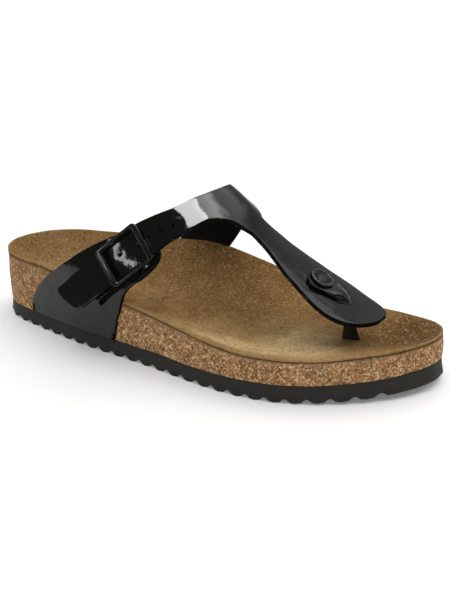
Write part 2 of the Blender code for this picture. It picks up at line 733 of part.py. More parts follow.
# ---- recesses for the tucked straps ---------------------------------------------------------------
for name, rows in (("side_recess", SIDE[:8]), ("arm_recess", BAND[-8:][::-1])):
    rows = rows.copy()
    rows[0, 1] += math.copysign(0.012, rows[0, 1])
    rows[0, 3] += math.copysign(0.012, rows[0, 3])
    rows[:2, 0] -= 0.8
    rows[:2, 2] += 0.8
    points = band_points(rows, ACROSS, GAP + 0.3, GAP + 0.1)
    faces = grid_faces(len(rows), ACROSS + 1, 0, name == "side_recess")
    recess = thicken(add_object(name, points, faces, closed=False), STRAP_THICK + 4.0)
    cut(footbed, recess)
    cut(insole, recess)

# ---- buckle ------------------------------------------------------------------------------------
buckle_seat = seat(last(*BUCKLE_AT), last(*BUCKLE_AHEAD) - last(*BUCKLE_AT), outward(*BUCKLE_AT))


def rounded_outline(low, high, radius):
    """Rectangle with round corners."""
    outline = []
    corners = ((high[0], high[1], 0), (low[0], high[1], 1), (low[0], low[1], 2), (high[0], low[1], 3))
    for cx, cy, quarter in corners:
        for k in range(CORNER_STEPS + 1):
            turn = math.pi / 2 * (quarter + k / CORNER_STEPS)
            outline.append((cx - math.copysign(radius, cx) + radius * math.cos(turn),
                            cy - math.copysign(radius, cy) + radius * math.sin(turn)))
    return outline


inner_low = (-WINDOW[0] / 2, -WINDOW[1] / 2)
inner_high = (WINDOW[0] / 2, WINDOW[1] / 2)
outer_low = (inner_low[0] - BAR_LOW, inner_low[1] - BAR_SIDE)
outer_high = (inner_high[0] + BAR_HIGH, inner_high[1] + BAR_SIDE)
frame_low = FRAME_LEVEL - FRAME_THICK / 2
frame_high = FRAME_LEVEL + FRAME_THICK / 2
outlines = [rounded_outline(outer_low, outer_high, OUTER_CORNER),
            rounded_outline(inner_low, inner_high, INNER_CORNER)]
frame_plate = plate("buckle_frame", outlines, frame_low, frame_high, buckle_black)
buckle_frame = place(frame_plate, buckle_seat)
easing = buckle_frame.modifiers.new("eased_edges", "BEVEL")
easing.width = EASE * MM
easing.segments = 1
easing.limit_method = "ANGLE"
easing.angle_limit = math.radians(60)
leg = inner_high[1] + BAR_SIDE / 2 + 0.1
low = CENTRE_BAR_LEVEL - 0.2
crank = [(0, -leg, frame_low + 1.0), (0, -leg, low + 1.8), (0, -leg + 0.5, low), (0, -leg + 1.8, low - 0.7),
         (0, -3, low), (0, 3, low), (0, leg - 1.8, low - 0.7), (0, leg - 0.5, low),
         (0, leg, low + 1.8), (0, leg, frame_low + 1.0)]
centre_bar = place(bar("centre_bar", refine(np.array(crank), 2), CENTRE_BAR_R), buckle_seat)
join_with(buckle_frame, centre_bar)

turns = np.radians(np.linspace(20, -270, 13))
loop_r = CENTRE_BAR_R + 0.35 + PRONG_R
hook = [(loop_r * math.cos(t), 0, low + loop_r * math.sin(t)) for t in turns]
hook += [(2.4, 0, 0.75), (PRONG_REACH - 1.4, 0, 1.15), (PRONG_REACH - 0.4, 0, 1.5), (PRONG_REACH, 0, 2.4),
         (PRONG_REACH, 0, 6.5)]
buckle_prong = place(bar("buckle_prong", hook, PRONG_R, buckle_black), buckle_seat)


def slot_cutter(name, start, end, width, low, high):
    """Round-ended slot between two places in the buckle's axes."""
    start = np.array(start, float)
    end = np.array(end, float)
    along = (end - start) / np.linalg.norm(end - start)
    across = np.array([-along[1], along[0]])
    outline = []
    for centre, base in ((end, -math.pi / 2), (start, math.pi / 2)):
        for k in range(5):
            turn = base + math.pi * k / 4
            outline.append(centre + width / 2 * (math.cos(turn) * along + math.sin(turn) * across))
    return place(plate(name, [outline], low, high), buckle_seat)


to_seat = buckle_seat.inverted()
for index, (low_end, high_end) in enumerate(SLOTS):
    far = to_seat @ Vector(last(*low_end) * MM) / MM
    side = -1 if index == 0 else 1
    cut(lateral_strap, slot_cutter("side_slot_%d" % index, (far.x, far.y), (2.0, side * leg), SLOT_WIDE, -9, 9))
cut(lateral_strap, slot_cutter("prong_slot", (-3.4, 0), (PRONG_REACH + 0.6, 0), 2.4, -6, 6))
prong_hole = drill("prong_hole", 1.0, 8.0, PRONG_HOLE_R)
cut(upper, place(prong_hole, buckle_seat @ Matrix.Translation((PRONG_REACH * MM, 0.0, 0.0))))

# ---- toe post and its button ----------------------------------------------------------------------
lobe_top = BAND[ROOT[0], 4] + STRAP_THICK + GAP
ridge = []
for x, height, plain, hem_x, hem_z, web, hem in POST:
    if plain:
        ridge.append(np.array([x, POST_Y, height]))
    else:
        ridge.append(lifted(x, share_at(x, POST_Y), lobe_top + height))
        ridge[-1][1] = POST_Y
ridge = np.array(ridge)
tangents = np.gradient(ridge, axis=0)
tangents /= np.linalg.norm(tangents, axis=1)[:, None]
points = []
for point, tangent, row in zip(ridge, tangents, POST):
    hem_x, hem_z, web, hem = row[3:]
    up = np.array([-tangent[2], 0, tangent[0]])
    inner = []
    outer = []
    for side in (-1, 1):
        corner = point + np.array([0, side * web, 0])
        end = point + np.array([hem_x, side * hem, hem_z])
        out = np.cross(tangent, end - corner) * side
        out /= np.linalg.norm(out)
        mitre = (up + out) / (1 + np.dot(up, out))
        leg = [end, (end + corner) / 2, corner]
        skin = [end + out * POST_THICK, (end + corner) / 2 + out * POST_THICK, corner + mitre * POST_THICK]
        inner += leg if side < 0 else leg[::-1]
        outer += skin if side < 0 else skin[::-1]
    points += inner + outer[::-1]
faces = []
for r in range(len(POST) - 1):
    for c in range(12):
        n = (c + 1) % 12
        faces.append((r * 12 + c, (r + 1) * 12 + c, (r + 1) * 12 + n, r * 12 + n))
faces += [tuple(range(12)), tuple(range(len(points) - 12, len(points)))]
toe_post = add_object("toe_post", points, faces, patent_black)

button_share = share_at(BUTTON_X, POST_Y)
button_seat = seat(last(BUTTON_X, button_share), (1, 0, 0), outward(BUTTON_X, button_share))
plate_top = BAND[ROOT[0], 4] - GAP
cap_base = lobe_top + POST_THICK + GAP + 0.15
cap_top = cap_base + BUTTON_THICK
profile = [(0, cap_top - 0.4), (BUTTON_R - 1.9, cap_top - 0.4), (BUTTON_R - 1.6, cap_top), (BUTTON_R - 0.6, cap_top),
           (BUTTON_R, cap_top - 0.7), (BUTTON_R, cap_base), (SHANK_R, cap_base), (SHANK_R, plate_top),
           (PLATE_R, plate_top), (PLATE_R, plate_top - PLATE_THICK), (0, plate_top - PLATE_THICK)]
toe_button = place(turned("toe_button", profile, 24, button_black), button_seat)
for item, low, high in ((upper, plate_top - 1, lobe_top), (toe_post, lobe_top - 1, cap_base + 0.1)):
    cut(item, place(drill("hole_" + item.name, low, high, SHANK_R + 0.4), button_seat))
rim = [(x, POST_Y - half) for x, half in LOBE_SLIT] + [(x, POST_Y + half) for x, half in LOBE_SLIT[::-1]]
cut(upper, place(plate("lobe_slit", [rim], 26, 50), Matrix.Identity(4)))
x_low, x_high, width = BED_SLIT
bed_slit = block("bed_slit", (x_low, POST_Y - width / 2, BED_SLIT_Z), (x_high, POST_Y + width / 2, 30))
cut(insole, bed_slit)
cut(footbed, bed_slit)
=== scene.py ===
# %% [markdown]
# # A right thong sandal
# The real thing is a moulded cork footbed on a foam outsole, covered with suede. A T-strap of patent
# material comes over the instep and ends in a lobe between the toes; a second strap on the outer side
# carries the buckle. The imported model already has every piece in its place, so it is loaded first and
# everything made here is built on top of it, in the same frame and in metres.

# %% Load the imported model
import functools
import math

import bmesh
import bpy
import numpy as np
from mathutils import Matrix, Vector, kdtree


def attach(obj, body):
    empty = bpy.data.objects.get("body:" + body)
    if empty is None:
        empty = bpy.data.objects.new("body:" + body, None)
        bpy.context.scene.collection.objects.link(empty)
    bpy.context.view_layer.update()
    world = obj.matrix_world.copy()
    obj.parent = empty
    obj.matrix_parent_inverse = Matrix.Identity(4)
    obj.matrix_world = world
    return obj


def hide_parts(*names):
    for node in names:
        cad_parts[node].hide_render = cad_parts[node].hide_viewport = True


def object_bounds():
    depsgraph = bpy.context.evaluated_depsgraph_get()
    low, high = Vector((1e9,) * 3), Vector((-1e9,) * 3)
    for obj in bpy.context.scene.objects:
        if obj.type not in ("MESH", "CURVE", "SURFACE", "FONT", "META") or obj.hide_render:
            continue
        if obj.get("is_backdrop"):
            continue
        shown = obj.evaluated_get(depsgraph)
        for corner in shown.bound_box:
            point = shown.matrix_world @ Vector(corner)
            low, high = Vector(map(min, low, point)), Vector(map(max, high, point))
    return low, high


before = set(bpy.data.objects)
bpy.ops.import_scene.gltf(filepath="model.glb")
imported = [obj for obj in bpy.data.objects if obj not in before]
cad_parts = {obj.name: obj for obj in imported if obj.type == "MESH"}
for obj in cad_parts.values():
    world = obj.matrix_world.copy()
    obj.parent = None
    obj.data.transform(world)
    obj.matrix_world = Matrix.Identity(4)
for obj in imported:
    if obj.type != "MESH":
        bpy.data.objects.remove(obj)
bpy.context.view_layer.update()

MM = 0.001

# %% [markdown]
# ## The sizes of the shoe
# A shoemaker works from a last: a wooden foot whose sections fix every strap. The tables below are that
# last, the sole's outline, the footbed's heights and the strap patterns, in millimetres. x runs from the
# back of the heel to the toe, y towards the big-toe side, z up from the floor. Nearly the same numbers
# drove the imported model, so finer pieces made from them fit it; a few rows of the band and of the toe post
# are set a little differently here, where softer curves can follow the real straps.

# %% Outline, footbed and last
GAP = 0.3                   # between pieces that meet
LENGTH = 265.0
SOLE_THICK = 8.5
SOLE_INSET = 1.2
SPRING_FROM = 185.0
SPRING = 4.6
GROOVE_PITCH = 9.8
GROOVE_WIDE = 2.7
GROOVE_DEEP = 1.7
CHANNEL_WIDE = 3.0
CHANNEL_X = (34.0, 232.0)
COVER_THICK = 1.6
STRAP_THICK = 2.4
EDGE_REACH = 4.0            # how far wear goes in from a strap's border
TAB_Z = 10.2
POST_Y = -2.6
POST_THICK = 1.3
OUTLINE_STEPS = 2400        # points on the smooth outline
GIRTH_STEPS = 120           # points on half a section of the last

OUTLINE = np.array([
    # x, y seen from above
    (0, -0.8), (10.7, -21.8), (38.5, -32.4), (79.8, -40.3), (124.8, -45), (167.8, -50.9), (204.9, -47.9),
    (234.1, -33.4), (256.1, -12.5), (265, 12.3), (253.2, 30.8), (228.3, 41.6), (190, 42), (147.9, 39.8),
    (105, 35.3), (60, 34.4), (14, 24.2)])

BED = np.array([
    # x, lateral rim, medial rim, middle, how broad the medial slope is
    (0, 38.9, 38.9, 26, 2.6), (30, 39.2, 39, 23.5, 2.6), (70, 38.7, 41.1, 24.5, 2.3),
    (110, 32.7, 44.3, 26, 1.6), (150, 27.8, 36.5, 22, 1.7), (190, 23.3, 23.6, 18.6, 2.4),
    (205, 23.2, 21.8, 20, 2.4), (222, 23.7, 20.9, 18.9, 2.4), (240, 25, 21.9, 18.8, 2.6),
    (265, 26.9, 26.9, 20.5, 2.6)], float)

LAST = np.array([
    # x, ridge y, ridge height, lateral and medial shoulder z, lateral and medial bend, medial crown
    (30, 0, 128, 40, 40.5, 0.68, 0.66, 1.12), (60, 0, 119, 39.6, 42, 0.68, 0.66, 1.12),
    (80, 0, 112, 38.3, 43.2, 0.68, 0.66, 1.12), (100, 0.5, 105, 35.4, 44.8, 0.68, 0.66, 1.12),
    (120, 1, 97.5, 32.8, 44.2, 0.67, 0.66, 1.12), (140, 2, 88.5, 30.6, 40.2, 0.66, 0.66, 1.12),
    (150, 2, 82.5, 29.5, 38, 0.63, 0.66, 1.12), (160, 1, 75, 28.4, 34.5, 0.6, 0.63, 1.2),
    (167, 0, 68.3, 27.6, 32, 0.53, 0.56, 1.5), (174, -1, 61.8, 26.8, 29.5, 0.46, 0.46, 1.8),
    (182, -2, 55.5, 25.9, 27.2, 0.41, 0.4, 2), (188.3, -2, 51.2, 25.2, 25.4, 0.37, 0.37, 2),
    (195.5, -2, 46.8, 25, 24.2, 0.36, 0.36, 2), (203.5, -2, 42, 25.1, 23.4, 0.36, 0.36, 2),
    (212.3, -2, 37.4, 25.3, 22.6, 0.36, 0.36, 2), (219, -2, 34.1, 25.6, 22.2, 0.36, 0.36, 2),
    (227, -2, 31, 25.9, 22.1, 0.36, 0.36, 2), (233, -2, 29.2, 26.1, 22.4, 0.36, 0.36, 2),
    (240, -2, 27.6, 26.5, 23.2, 0.36, 0.36, 2), (250, -2, 26, 27, 25, 0.36, 0.36, 2)], float)
print("outline", len(OUTLINE), "points, footbed", len(BED), "rows, last", len(LAST), "rows")

# %% Strap patterns, buckle and toe post
# Places on the last are x and girth share: -1 its lateral foot, 0 its ridge, +1 its medial foot.
BAND = np.array([
    # back x, back share, front x, front share, inner face above the last
    (75.3, -0.837, 83.6, -0.863, 7.7), (72.7, -0.813, 87.4, -0.864, 7.4),
    (73.1, -0.798, 90.1, -0.851, 6.9), (77.5, -0.763, 94.5, -0.817, 5.8),
    (82.8, -0.72, 99.1, -0.782, 4.8), (88, -0.679, 103.8, -0.744, 3.9),
    (92.5, -0.632, 108.4, -0.702, 3.15), (98.8, -0.575, 114.2, -0.662, 2.7),
    (106.3, -0.514, 121.7, -0.607, 2.7), (113.2, -0.447, 129, -0.547, 2.7),
    (118.4, -0.403, 133.5, -0.488, 2.7), (123.6, -0.363, 139, -0.424, 2.7),
    (128.9, -0.322, 144.2, -0.371, 2.7), (134, -0.28, 149.2, -0.285, 2.7),
    (139, -0.215, 153.6, -0.228, 2.7), (143.2, -0.143, 159.3, -0.175, 2.7),
    (145.4, -0.08, 165, -0.142, 2.7), (146.2, -0.035, 165.8, -0.1, 2.7),
    (146.5, 0.005, 165.9, -0.058, 2.7), (146.2, 0.045, 165.7, -0.016, 2.7),
    (145.3, 0.09, 164.8, 0.024, 2.7), (143.3, 0.15, 159.5, 0.07, 2.7), (140.3, 0.215, 155, 0.155, 2.6),
    (136.2, 0.285, 150.6, 0.25, 2.3), (130.6, 0.365, 146, 0.35, 1.8), (122.9, 0.455, 140.6, 0.46, 1.2),
    (113.2, 0.545, 134.5, 0.56, 0.5), (104, 0.625, 127.2, 0.672, -0.4), (95, 0.7, 122, 0.738, -0.9),
    (86, 0.785, 117.8, 0.81, -1.3), (77.5, 0.87, 115, 0.88, -1.3), (71, 0.94, 113.6, 0.945, -1.3),
    (66.4, 1, 112.9, 1, -1.3), (67, 1.07, 112, 1.07, -1.3)])
ROOT = (16, 20)             # first and last row of the band that the front stem grows from
STRAP_LEVEL = BAND[ROOT[0], 4]
STEM = np.array([
    # x, lateral edge y, medial edge y
    (168.6, -10.5, 3.7), (172.8, -10.3, 5.9), (178, -11, 7.3), (184, -12.8, 9.1), (190.5, -15.2, 10.6),
    (197.5, -17.3, 12), (205, -19.5, 13.6), (211.5, -21, 14.1), (217.5, -21.1, 13.6), (223, -19.7, 12.8),
    (227.5, -16.9, 12), (231.3, -13.2, 10.4), (234.2, -8.5, 8.2), (235.9, -3.6, 5.4)])
SIDE = np.array([
    # back x, back share, front x, front share, inner face above the last
    (38.5, -1.07, 102, -1.07, -1.3), (37.2, -1, 103.7, -1, -1.3), (38, -0.952, 104.7, -0.957, -1.3),
    (41.5, -0.905, 106.1, -0.902, -1.3), (46.6, -0.855, 108.2, -0.855, -1.2),
    (54, -0.803, 109.9, -0.806, -1), (62.5, -0.75, 112.6, -0.752, -0.7),
    (73, -0.686, 117.4, -0.701, -0.4), (83.1, -0.621, 123.5, -0.656, -0.1),
    (94.9, -0.551, 128.6, -0.605, 0), (103.2, -0.505, 131.4, -0.568, 0),
    (111.5, -0.468, 132.9, -0.531, 0), (118.5, -0.446, 132.6, -0.503, 0),
    (124.5, -0.444, 130.9, -0.483, 0), (127.3, -0.452, 129.4, -0.468, 0)])

BUCKLE_AT = (114.52, -0.5608)
BUCKLE_AHEAD = (122.87, -0.4775)
SLOTS = ((96.0, -0.838), (88.0, -0.748))        # their low ends
SLOT_WIDE = 3.1
WINDOW = (22.0, 19.8)
WINDOW_DROP = 0.5           # how much lower the window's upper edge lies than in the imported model
BAR_LOW = 3.4
BAR_HIGH = 3.0
BAR_SIDE = 1.3
FRAME_THICK = 1.7
FRAME_LEVEL = 6.95
FRAME_CORNERS = (2.6, 0.7)          # radii of its outer and inner corners
CENTRE_BAR_R = 0.85
CENTRE_BAR_LEVEL = -1.4
PRONG_R = 0.7
PRONG_REACH = 9.6
FRAME_TILT = (0.055, 0.045)         # radians about the strap's length and across it
PRONG_HOLE_R = 1.3
HOLE_R = 0.95
HOLE_FLOOR = 3.5            # the small holes go from the film down to this height above the last
STRAP_HOLES = ((111.3, -0.570), (126.0, -0.450), (131.3, -0.402), (137.0, -0.364))

POST = np.array([
    # ridge x, height over the lobe or z, 1 where it is a plain z, hem x and z from the ridge,
    # half width at the ridge and at the hem
    (196.3, 0, 0, 0, 0, 0.6, 1.6), (196.9, 0, 0, 0, 0, 1.6, 4.4), (198.2, 0, 0, 0, 0, 2.6, 7),
    (200.2, 0, 0, 0, 0, 3, 8.8), (202.4, 0, 0, 0, 0, 3, 9.2), (204.6, 0, 0, 0, 0, 2.8, 8.7),
    (206.6, 0.1, 0, 0, -0.1, 2.4, 7.4), (208.4, 0.3, 0, 0, -0.4, 2, 6.4),
    (213.5, 43.9, 1, 0, -1.2, 1.5, 5), (215.4, 43.2, 1, 0, -1.6, 1.2, 4.3),
    (217, 42.3, 1, -0.1, -1.9, 0.9, 3.5), (218.3, 41.2, 1, -0.4, -2, 0.6, 2.7),
    (219.3, 39.9, 1, -0.9, -1.9, 0.4, 1.9), (220, 38.4, 1, -1.8, -1.5, 0.3, 1.2),
    (220.4, 36.6, 1, -3, -0.8, 0.2, 0.7), (221, 33.8, 1, -4.2, 0, 0.2, 0.5),
    (222, 31, 1, -4.2, 0.2, 0.2, 0.5), (222.9, 28.5, 1, -4.2, 0.2, 0.3, 0.6),
    (223.9, 24.6, 1, -5.3, 0.1, 0.4, 0.9), (224.8, 21.8, 1, -6.2, 0, 0.7, 1.5),
    (225.8, 19.2, 1, -7.1, -0.2, 0.9, 2), (226.4, 16.6, 1, -7.4, 0, 1, 2.2),
    (226.9, 13.4, 1, -7.6, 0, 1, 2.3)])
LOBE_SLIT = np.array([
    # x, half width
    (216, 0.7), (217.5, 0.9), (219.5, 0.9), (221.4, 0.8), (222.2, 0.4)])
BED_SLIT = (217.9, 229.0, 9.0)      # from x, to x, width
BED_SLIT_Z = (12.6, 30)
BUTTON_X = 201.9
BUTTON_R = 6.3
BUTTON_THICK = 1.1
SHANK_R = 1.9
PLATE_R = 5.0
PLATE_THICK = 1.0
print("T-strap", len(BAND) + len(STEM), "rows, side strap", len(SIDE), "rows, toe post", len(POST), "rows")

# %% [markdown]
# ## Smooth curves through the tables
# A pattern maker draws smooth lines through a few marked points. Three curves do that here: a closed spline
# for the outline, a curve that never overshoots its rows for heights, and one that adds rows between the
# rows of a strap so that the finer strap follows the coarse one.

# %% Curves
def hermite(t, length, start, start_slope, end, end_slope):
    """Cubic from start to end while t goes from 0 to 1, with its slopes per unit of length."""
    return ((2 * t**3 - 3 * t**2 + 1) * start + (t**3 - 2 * t**2 + t) * length * start_slope
            + (3 * t**2 - 2 * t**3) * end + (t**3 - t**2) * length * end_slope)


def closed_curve(points, count):
    """Smooth closed curve through the points, evenly sampled between them."""
    steps = np.hypot(*(np.roll(points, -1, axis=0) - points).T)
    slopes = (np.roll(points, -1, axis=0) - points) / steps[:, None]
    size = len(points)
    matrix = np.zeros((size, size))
    for i in range(size):
        matrix[i, i - 1] = steps[i]
        matrix[i, i] = 2 * (steps[i] + steps[i - 1])
        matrix[i, (i + 1) % size] = steps[i - 1]
    rhs = 3 * (steps[:, None] * np.roll(slopes, 1, axis=0) + np.roll(steps, 1)[:, None] * slopes)
    tangents = np.linalg.solve(matrix, rhs)
    starts = np.concatenate([[0], np.cumsum(steps)])
    along = np.linspace(0, starts[-1], count, endpoint=False)
    k = np.clip(np.searchsorted(starts, along, side="right") - 1, 0, size - 1)
    t = ((along - starts[k]) / steps[k])[:, None]
    after = (k + 1) % size
    return hermite(t, steps[k][:, None], points[k], tangents[k], points[after], tangents[after])


def smooth(table, column, x):
    """Value of one table column at x, on a smooth curve that never overshoots its rows."""
    xs = table[:, 0]
    ys = table[:, column]
    step = np.diff(xs)
    slope = np.diff(ys) / step
    tangent = np.zeros(len(xs))
    same = slope[:-1] * slope[1:] > 0
    safe = np.where(same, slope[:-1] * slope[1:], 1.0)
    tangent[1:-1] = np.where(same, 2 * safe / np.where(same, slope[:-1] + slope[1:], 1.0), 0.0)
    tangent[0] = slope[0]
    tangent[-1] = slope[-1]
    x = np.clip(x, xs[0], xs[-1])
    k = np.clip(np.searchsorted(xs, x, side="right") - 1, 0, len(xs) - 2)
    return hermite((x - xs[k]) / step[k], step[k], ys[k], tangent[k], ys[k + 1], tangent[k + 1])


def refine(rows, parts):
    """The rows with smooth rows put in between, parts steps from each row to the next."""
    rows = np.asarray(rows, float)
    padded = np.concatenate([[2 * rows[0] - rows[1]], rows, [2 * rows[-1] - rows[-2]]])
    made = []
    for i in range(len(rows) - 1):
        a, b, c, d = padded[i:i + 4]
        for step in range(parts):
            t = step / parts
            made.append(0.5 * (2 * b + (c - a) * t + (2 * a - 5 * b + 4 * c - d) * t**2
                               + (3 * b - a - 3 * c + d) * t**3))
    made.append(rows[-1])
    return np.array(made)


CURVE = closed_curve(OUTLINE, OUTLINE_STEPS)
CURVE = np.roll(CURVE, -int(np.argmin(CURVE[:, 0])), axis=0)
TIP = int(np.argmax(CURVE[:, 0]))
LATERAL = CURVE[:TIP + 1]
MEDIAL = np.vstack([CURVE[TIP:], CURVE[:1]])[::-1]
BOX_MIN = CURVE.min(axis=0)
BOX_MAX = CURVE.max(axis=0)
CENTRE = (BOX_MIN + BOX_MAX) / 2
ORIGIN = np.append(CENTRE, 0.0)
print("sole", np.round(BOX_MAX - BOX_MIN, 1), "mm; its middle is the frame's origin:", np.round(CENTRE, 2))


# %% Sole edge and last
def edge(x, side):
    """y of the outline at x; side -1 is lateral, +1 medial."""
    line = LATERAL if side < 0 else MEDIAL
    return np.interp(x, line[:, 0], line[:, 1])


def spring(x):
    """Lift of the sole's underside at x."""
    return SPRING * (np.maximum(x - SPRING_FROM, 0) / (LENGTH - SPRING_FROM))**2


def bumps(table, a, b):
    """Sum of soft bumps at a place a, b; a row is a bump's place, height and two spreads."""
    return sum(height * np.exp(-((a - place_a) / spread_a)**2 / 2 - ((b - place_b) / spread_b)**2 / 2)
               for place_a, place_b, height, spread_a, spread_b in table)


def inset(x, y, amount):
    """A point of the outline moved inwards, by scaling about the middle of the box."""
    share = 1 - amount / ((BOX_MAX - BOX_MIN) / 2)
    return CENTRE[0] + (x - CENTRE[0]) * share[0], CENTRE[1] + (y - CENTRE[1]) * share[1]


@functools.lru_cache(maxsize=None)
def girth(x, side):
    """Half a cross-section of the last at x: y, z and length from the ridge down to the base."""
    wall = edge(x, side) - side * SOLE_INSET
    ridge = smooth(LAST, 1, x)
    top = smooth(LAST, 2, x)
    shoulder = smooth(LAST, 3 if side < 0 else 4, x)
    bend = smooth(LAST, 5 if side < 0 else 6, x)
    crown = 2.0 if side < 0 else smooth(LAST, 7, x)
    across = np.sin(np.linspace(0, math.pi / 2, GIRTH_STEPS))
    ys = np.append(ridge + (wall - ridge) * across, wall)
    zs = np.append(shoulder + (top - shoulder) * np.maximum(1 - across**crown, 0)**bend, TAB_Z)
    run = np.concatenate([[0], np.cumsum(np.hypot(np.diff(ys), np.diff(zs)))])
    return ys, zs, run


def last(x, share):
    """Point on the last; beyond a share of 1 the path turns in under the footbed."""
    side = -1 if share < 0 else 1
    ys, zs, run = girth(round(float(x), 3), side)
    reach = abs(share) * run[-1]
    y = np.interp(reach, run, ys) - side * max(reach - run[-1], 0)
    return np.array([x, y, np.interp(reach, run, zs)])


def share_at(x, y):
    """Girth share of the place on the last that lies above y."""
    ridge = smooth(LAST, 1, x)
    side = -1 if y < ridge else 1
    ys, zs, run = girth(round(float(x), 3), side)
    return side * np.interp(abs(y - ridge), np.abs(ys - ridge)[:-1], run[:-1]) / run[-1]


def outward(x, share):
    """Unit normal of the last, away from the foot."""
    limit = 0.999 if abs(share) < 1 else 1.12
    ahead = last(x, min(share + 0.008, limit))
    behind = last(x, max(share - 0.008, -limit))
    normal = np.cross(last(x + 1, share) - last(x - 1, share), ahead - behind)
    return normal / np.linalg.norm(normal)


def lifted(x, share, height):
    """Point at a height above the last; at its foot the corner is mitred."""
    mitre = math.sqrt(2) if abs(share) == 1 else 1.0
    return last(x, share) + outward(x, share) * height * mitre


print("instep ridge at x 150 stands", round(float(last(150, 0)[2]), 1), "mm above the floor")

# %% [markdown]
# ## Tools for making pieces
# Each piece is a mesh in the frame's own coordinates. Slits and punched holes are cut with closed cutters,
# as a knife and a punch would, and the modifiers are applied at once, so what is left is one plain mesh.
# Masks such as "near the edge" are stored on the points, where any finish can read them.

# %% Mesh helpers
def to_frame(points):
    """Millimetre points of the shoe's tables as metre points of the frame."""
    return (np.asarray(points, float) - ORIGIN) * MM


def from_frame(points):
    """Metre points of the frame as millimetre points of the shoe's tables."""
    return np.asarray(points, float) / MM + ORIGIN


def in_scene(name, data):
    """An object for a camera, a lamp or a mesh, put in the scene."""
    item = bpy.data.objects.new(name, data)
    bpy.context.scene.collection.objects.link(item)
    return item


def new_piece(name, points, faces, closed=True):
    """A mesh object from points in millimetres, welded, with its faces pointing outwards."""
    mesh = bpy.data.meshes.new(name)
    mesh.from_pydata(to_frame(points).tolist(), [], faces)
    work = bmesh.new()
    work.from_mesh(mesh)
    bmesh.ops.remove_doubles(work, verts=work.verts, dist=0.00001)
    bmesh.ops.dissolve_degenerate(work, edges=work.edges, dist=0.00001)
    if closed:
        bmesh.ops.recalc_face_normals(work, faces=work.faces)
    work.to_mesh(mesh)
    work.free()
    return in_scene(name, mesh)


def modify(item, kind, **settings):
    """Put a modifier on a piece."""
    step = item.modifiers.new(kind.lower(), kind)
    for name, value in settings.items():
        setattr(step, name, value)


def punch(item, cutters):
    """Cut closed shapes out of a piece."""
    for cutter in cutters:
        modify(item, "BOOLEAN", operation="DIFFERENCE", solver="EXACT", object=cutter)
    bake(item)
    for cutter in cutters:
        bpy.data.objects.remove(cutter, do_unlink=True)


def bake(item, sharp=35):
    """Apply a piece's modifiers and shade it smooth between its sharp edges."""
    depsgraph = bpy.context.evaluated_depsgraph_get()
    mesh = bpy.data.meshes.new_from_object(item.evaluated_get(depsgraph))
    mesh.name = item.name
    mesh.transform(item.matrix_world)
    item.modifiers.clear()
    item.data = mesh
    item.matrix_world = Matrix.Identity(4)
    mesh.shade_smooth()
    mesh.set_sharp_from_angle(angle=math.radians(sharp))


def soften(item, width, segments, angle, sharp=35):
    """Round every edge of a piece that is sharper than an angle in degrees; width in millimetres."""
    modify(item, "BEVEL", width=width * MM, segments=segments, limit_method="ANGLE",
           angle_limit=math.radians(angle))
    bake(item, sharp)


def points_of(item):
    """The piece's points in millimetres of the shoe's tables."""
    flat = np.empty(len(item.data.vertices) * 3)
    item.data.vertices.foreach_get("co", flat)
    return from_frame(flat.reshape(-1, 3))


def move_points(item, points):
    """Put the piece's points at new places, in millimetres of the shoe's tables."""
    item.data.vertices.foreach_set("co", to_frame(points).ravel())
    item.data.update()


def mark(item, name, values):
    """Store a number for each point of the piece under a name that its finish can read."""
    layer = item.data.attributes.new(name, "FLOAT", "POINT")
    layer.data.foreach_set("value", (np.zeros(len(item.data.vertices)) + values).astype(np.float32))


def finder(points):
    """A function that finds the nearest of the points: its place, its number and how far it is."""
    tree = kdtree.KDTree(len(points))
    for index, point in enumerate(points):
        tree.insert(point, index)
    tree.balance()
    return tree.find


def near_line(item, line, reach):
    """How near each point is to a line of points: 1 on it, falling to 0 at some reach."""
    find = finder(line)
    return np.clip(1 - np.array([find(point)[2] for point in points_of(item)]) / reach, 0, 1)


def finish_piece(item, node):
    """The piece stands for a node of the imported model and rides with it."""
    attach(item, "root")
    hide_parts(node)
    print(item.name, "has", len(item.data.vertices), "points and", len(item.data.polygons), "faces")


def ring_quads(count, lower, upper):
    """Quads between two rings of count points, stored one ring after another."""
    return [(lower * count + i, lower * count + (i + 1) % count,
             upper * count + (i + 1) % count, upper * count + i) for i in range(count)]


def grid_faces(rows, columns, start=0, turned_over=False):
    """Quads of a grid whose points are stored row by row."""
    faces = []
    for r in range(rows - 1):
        for c in range(columns - 1):
            a = start + r * columns + c
            quad = (a, a + columns, a + columns + 1, a + 1)
            faces.append(quad[::-1] if turned_over else quad)
    return faces


def closed_loft(name, loops, capped):
    """Closed solid from loops of points; capped closes its two ends, else the last loop meets the first."""
    count = len(loops[0])
    faces = []
    for k in range(len(loops) - (1 if capped else 0)):
        faces += ring_quads(count, k, (k + 1) % len(loops))
    if capped:
        faces += [tuple(range(count)), tuple(range((len(loops) - 1) * count, len(loops) * count))]
    return new_piece(name, np.concatenate(loops), faces)


print("the toe's tip is x", LENGTH, "mm in the tables and x",
      round(float(to_frame((LENGTH, 0, 0))[0]), 4), "m in the frame")

# %% [markdown]
# ## Outsole
# The real outsole is die-cut foam with a moulded tread, so its side shows the ends of the lugs as a row of
# rounded blocks. Lofting cross-sections along the foot keeps its curve exact; each groove is nine sections
# close together. A Bevel then rounds every cut edge, which is what catches the light on soft foam.

# %% Outsole
WALL_STEPS = 4
SCUFFED = 2.2               # height of the lugs that dust and scuffs reach
TUCK = 0.9                  # how far a groove draws the floor edge in
WALL_FOOT = 2.1             # height at which the wall starts above the rounded lugs


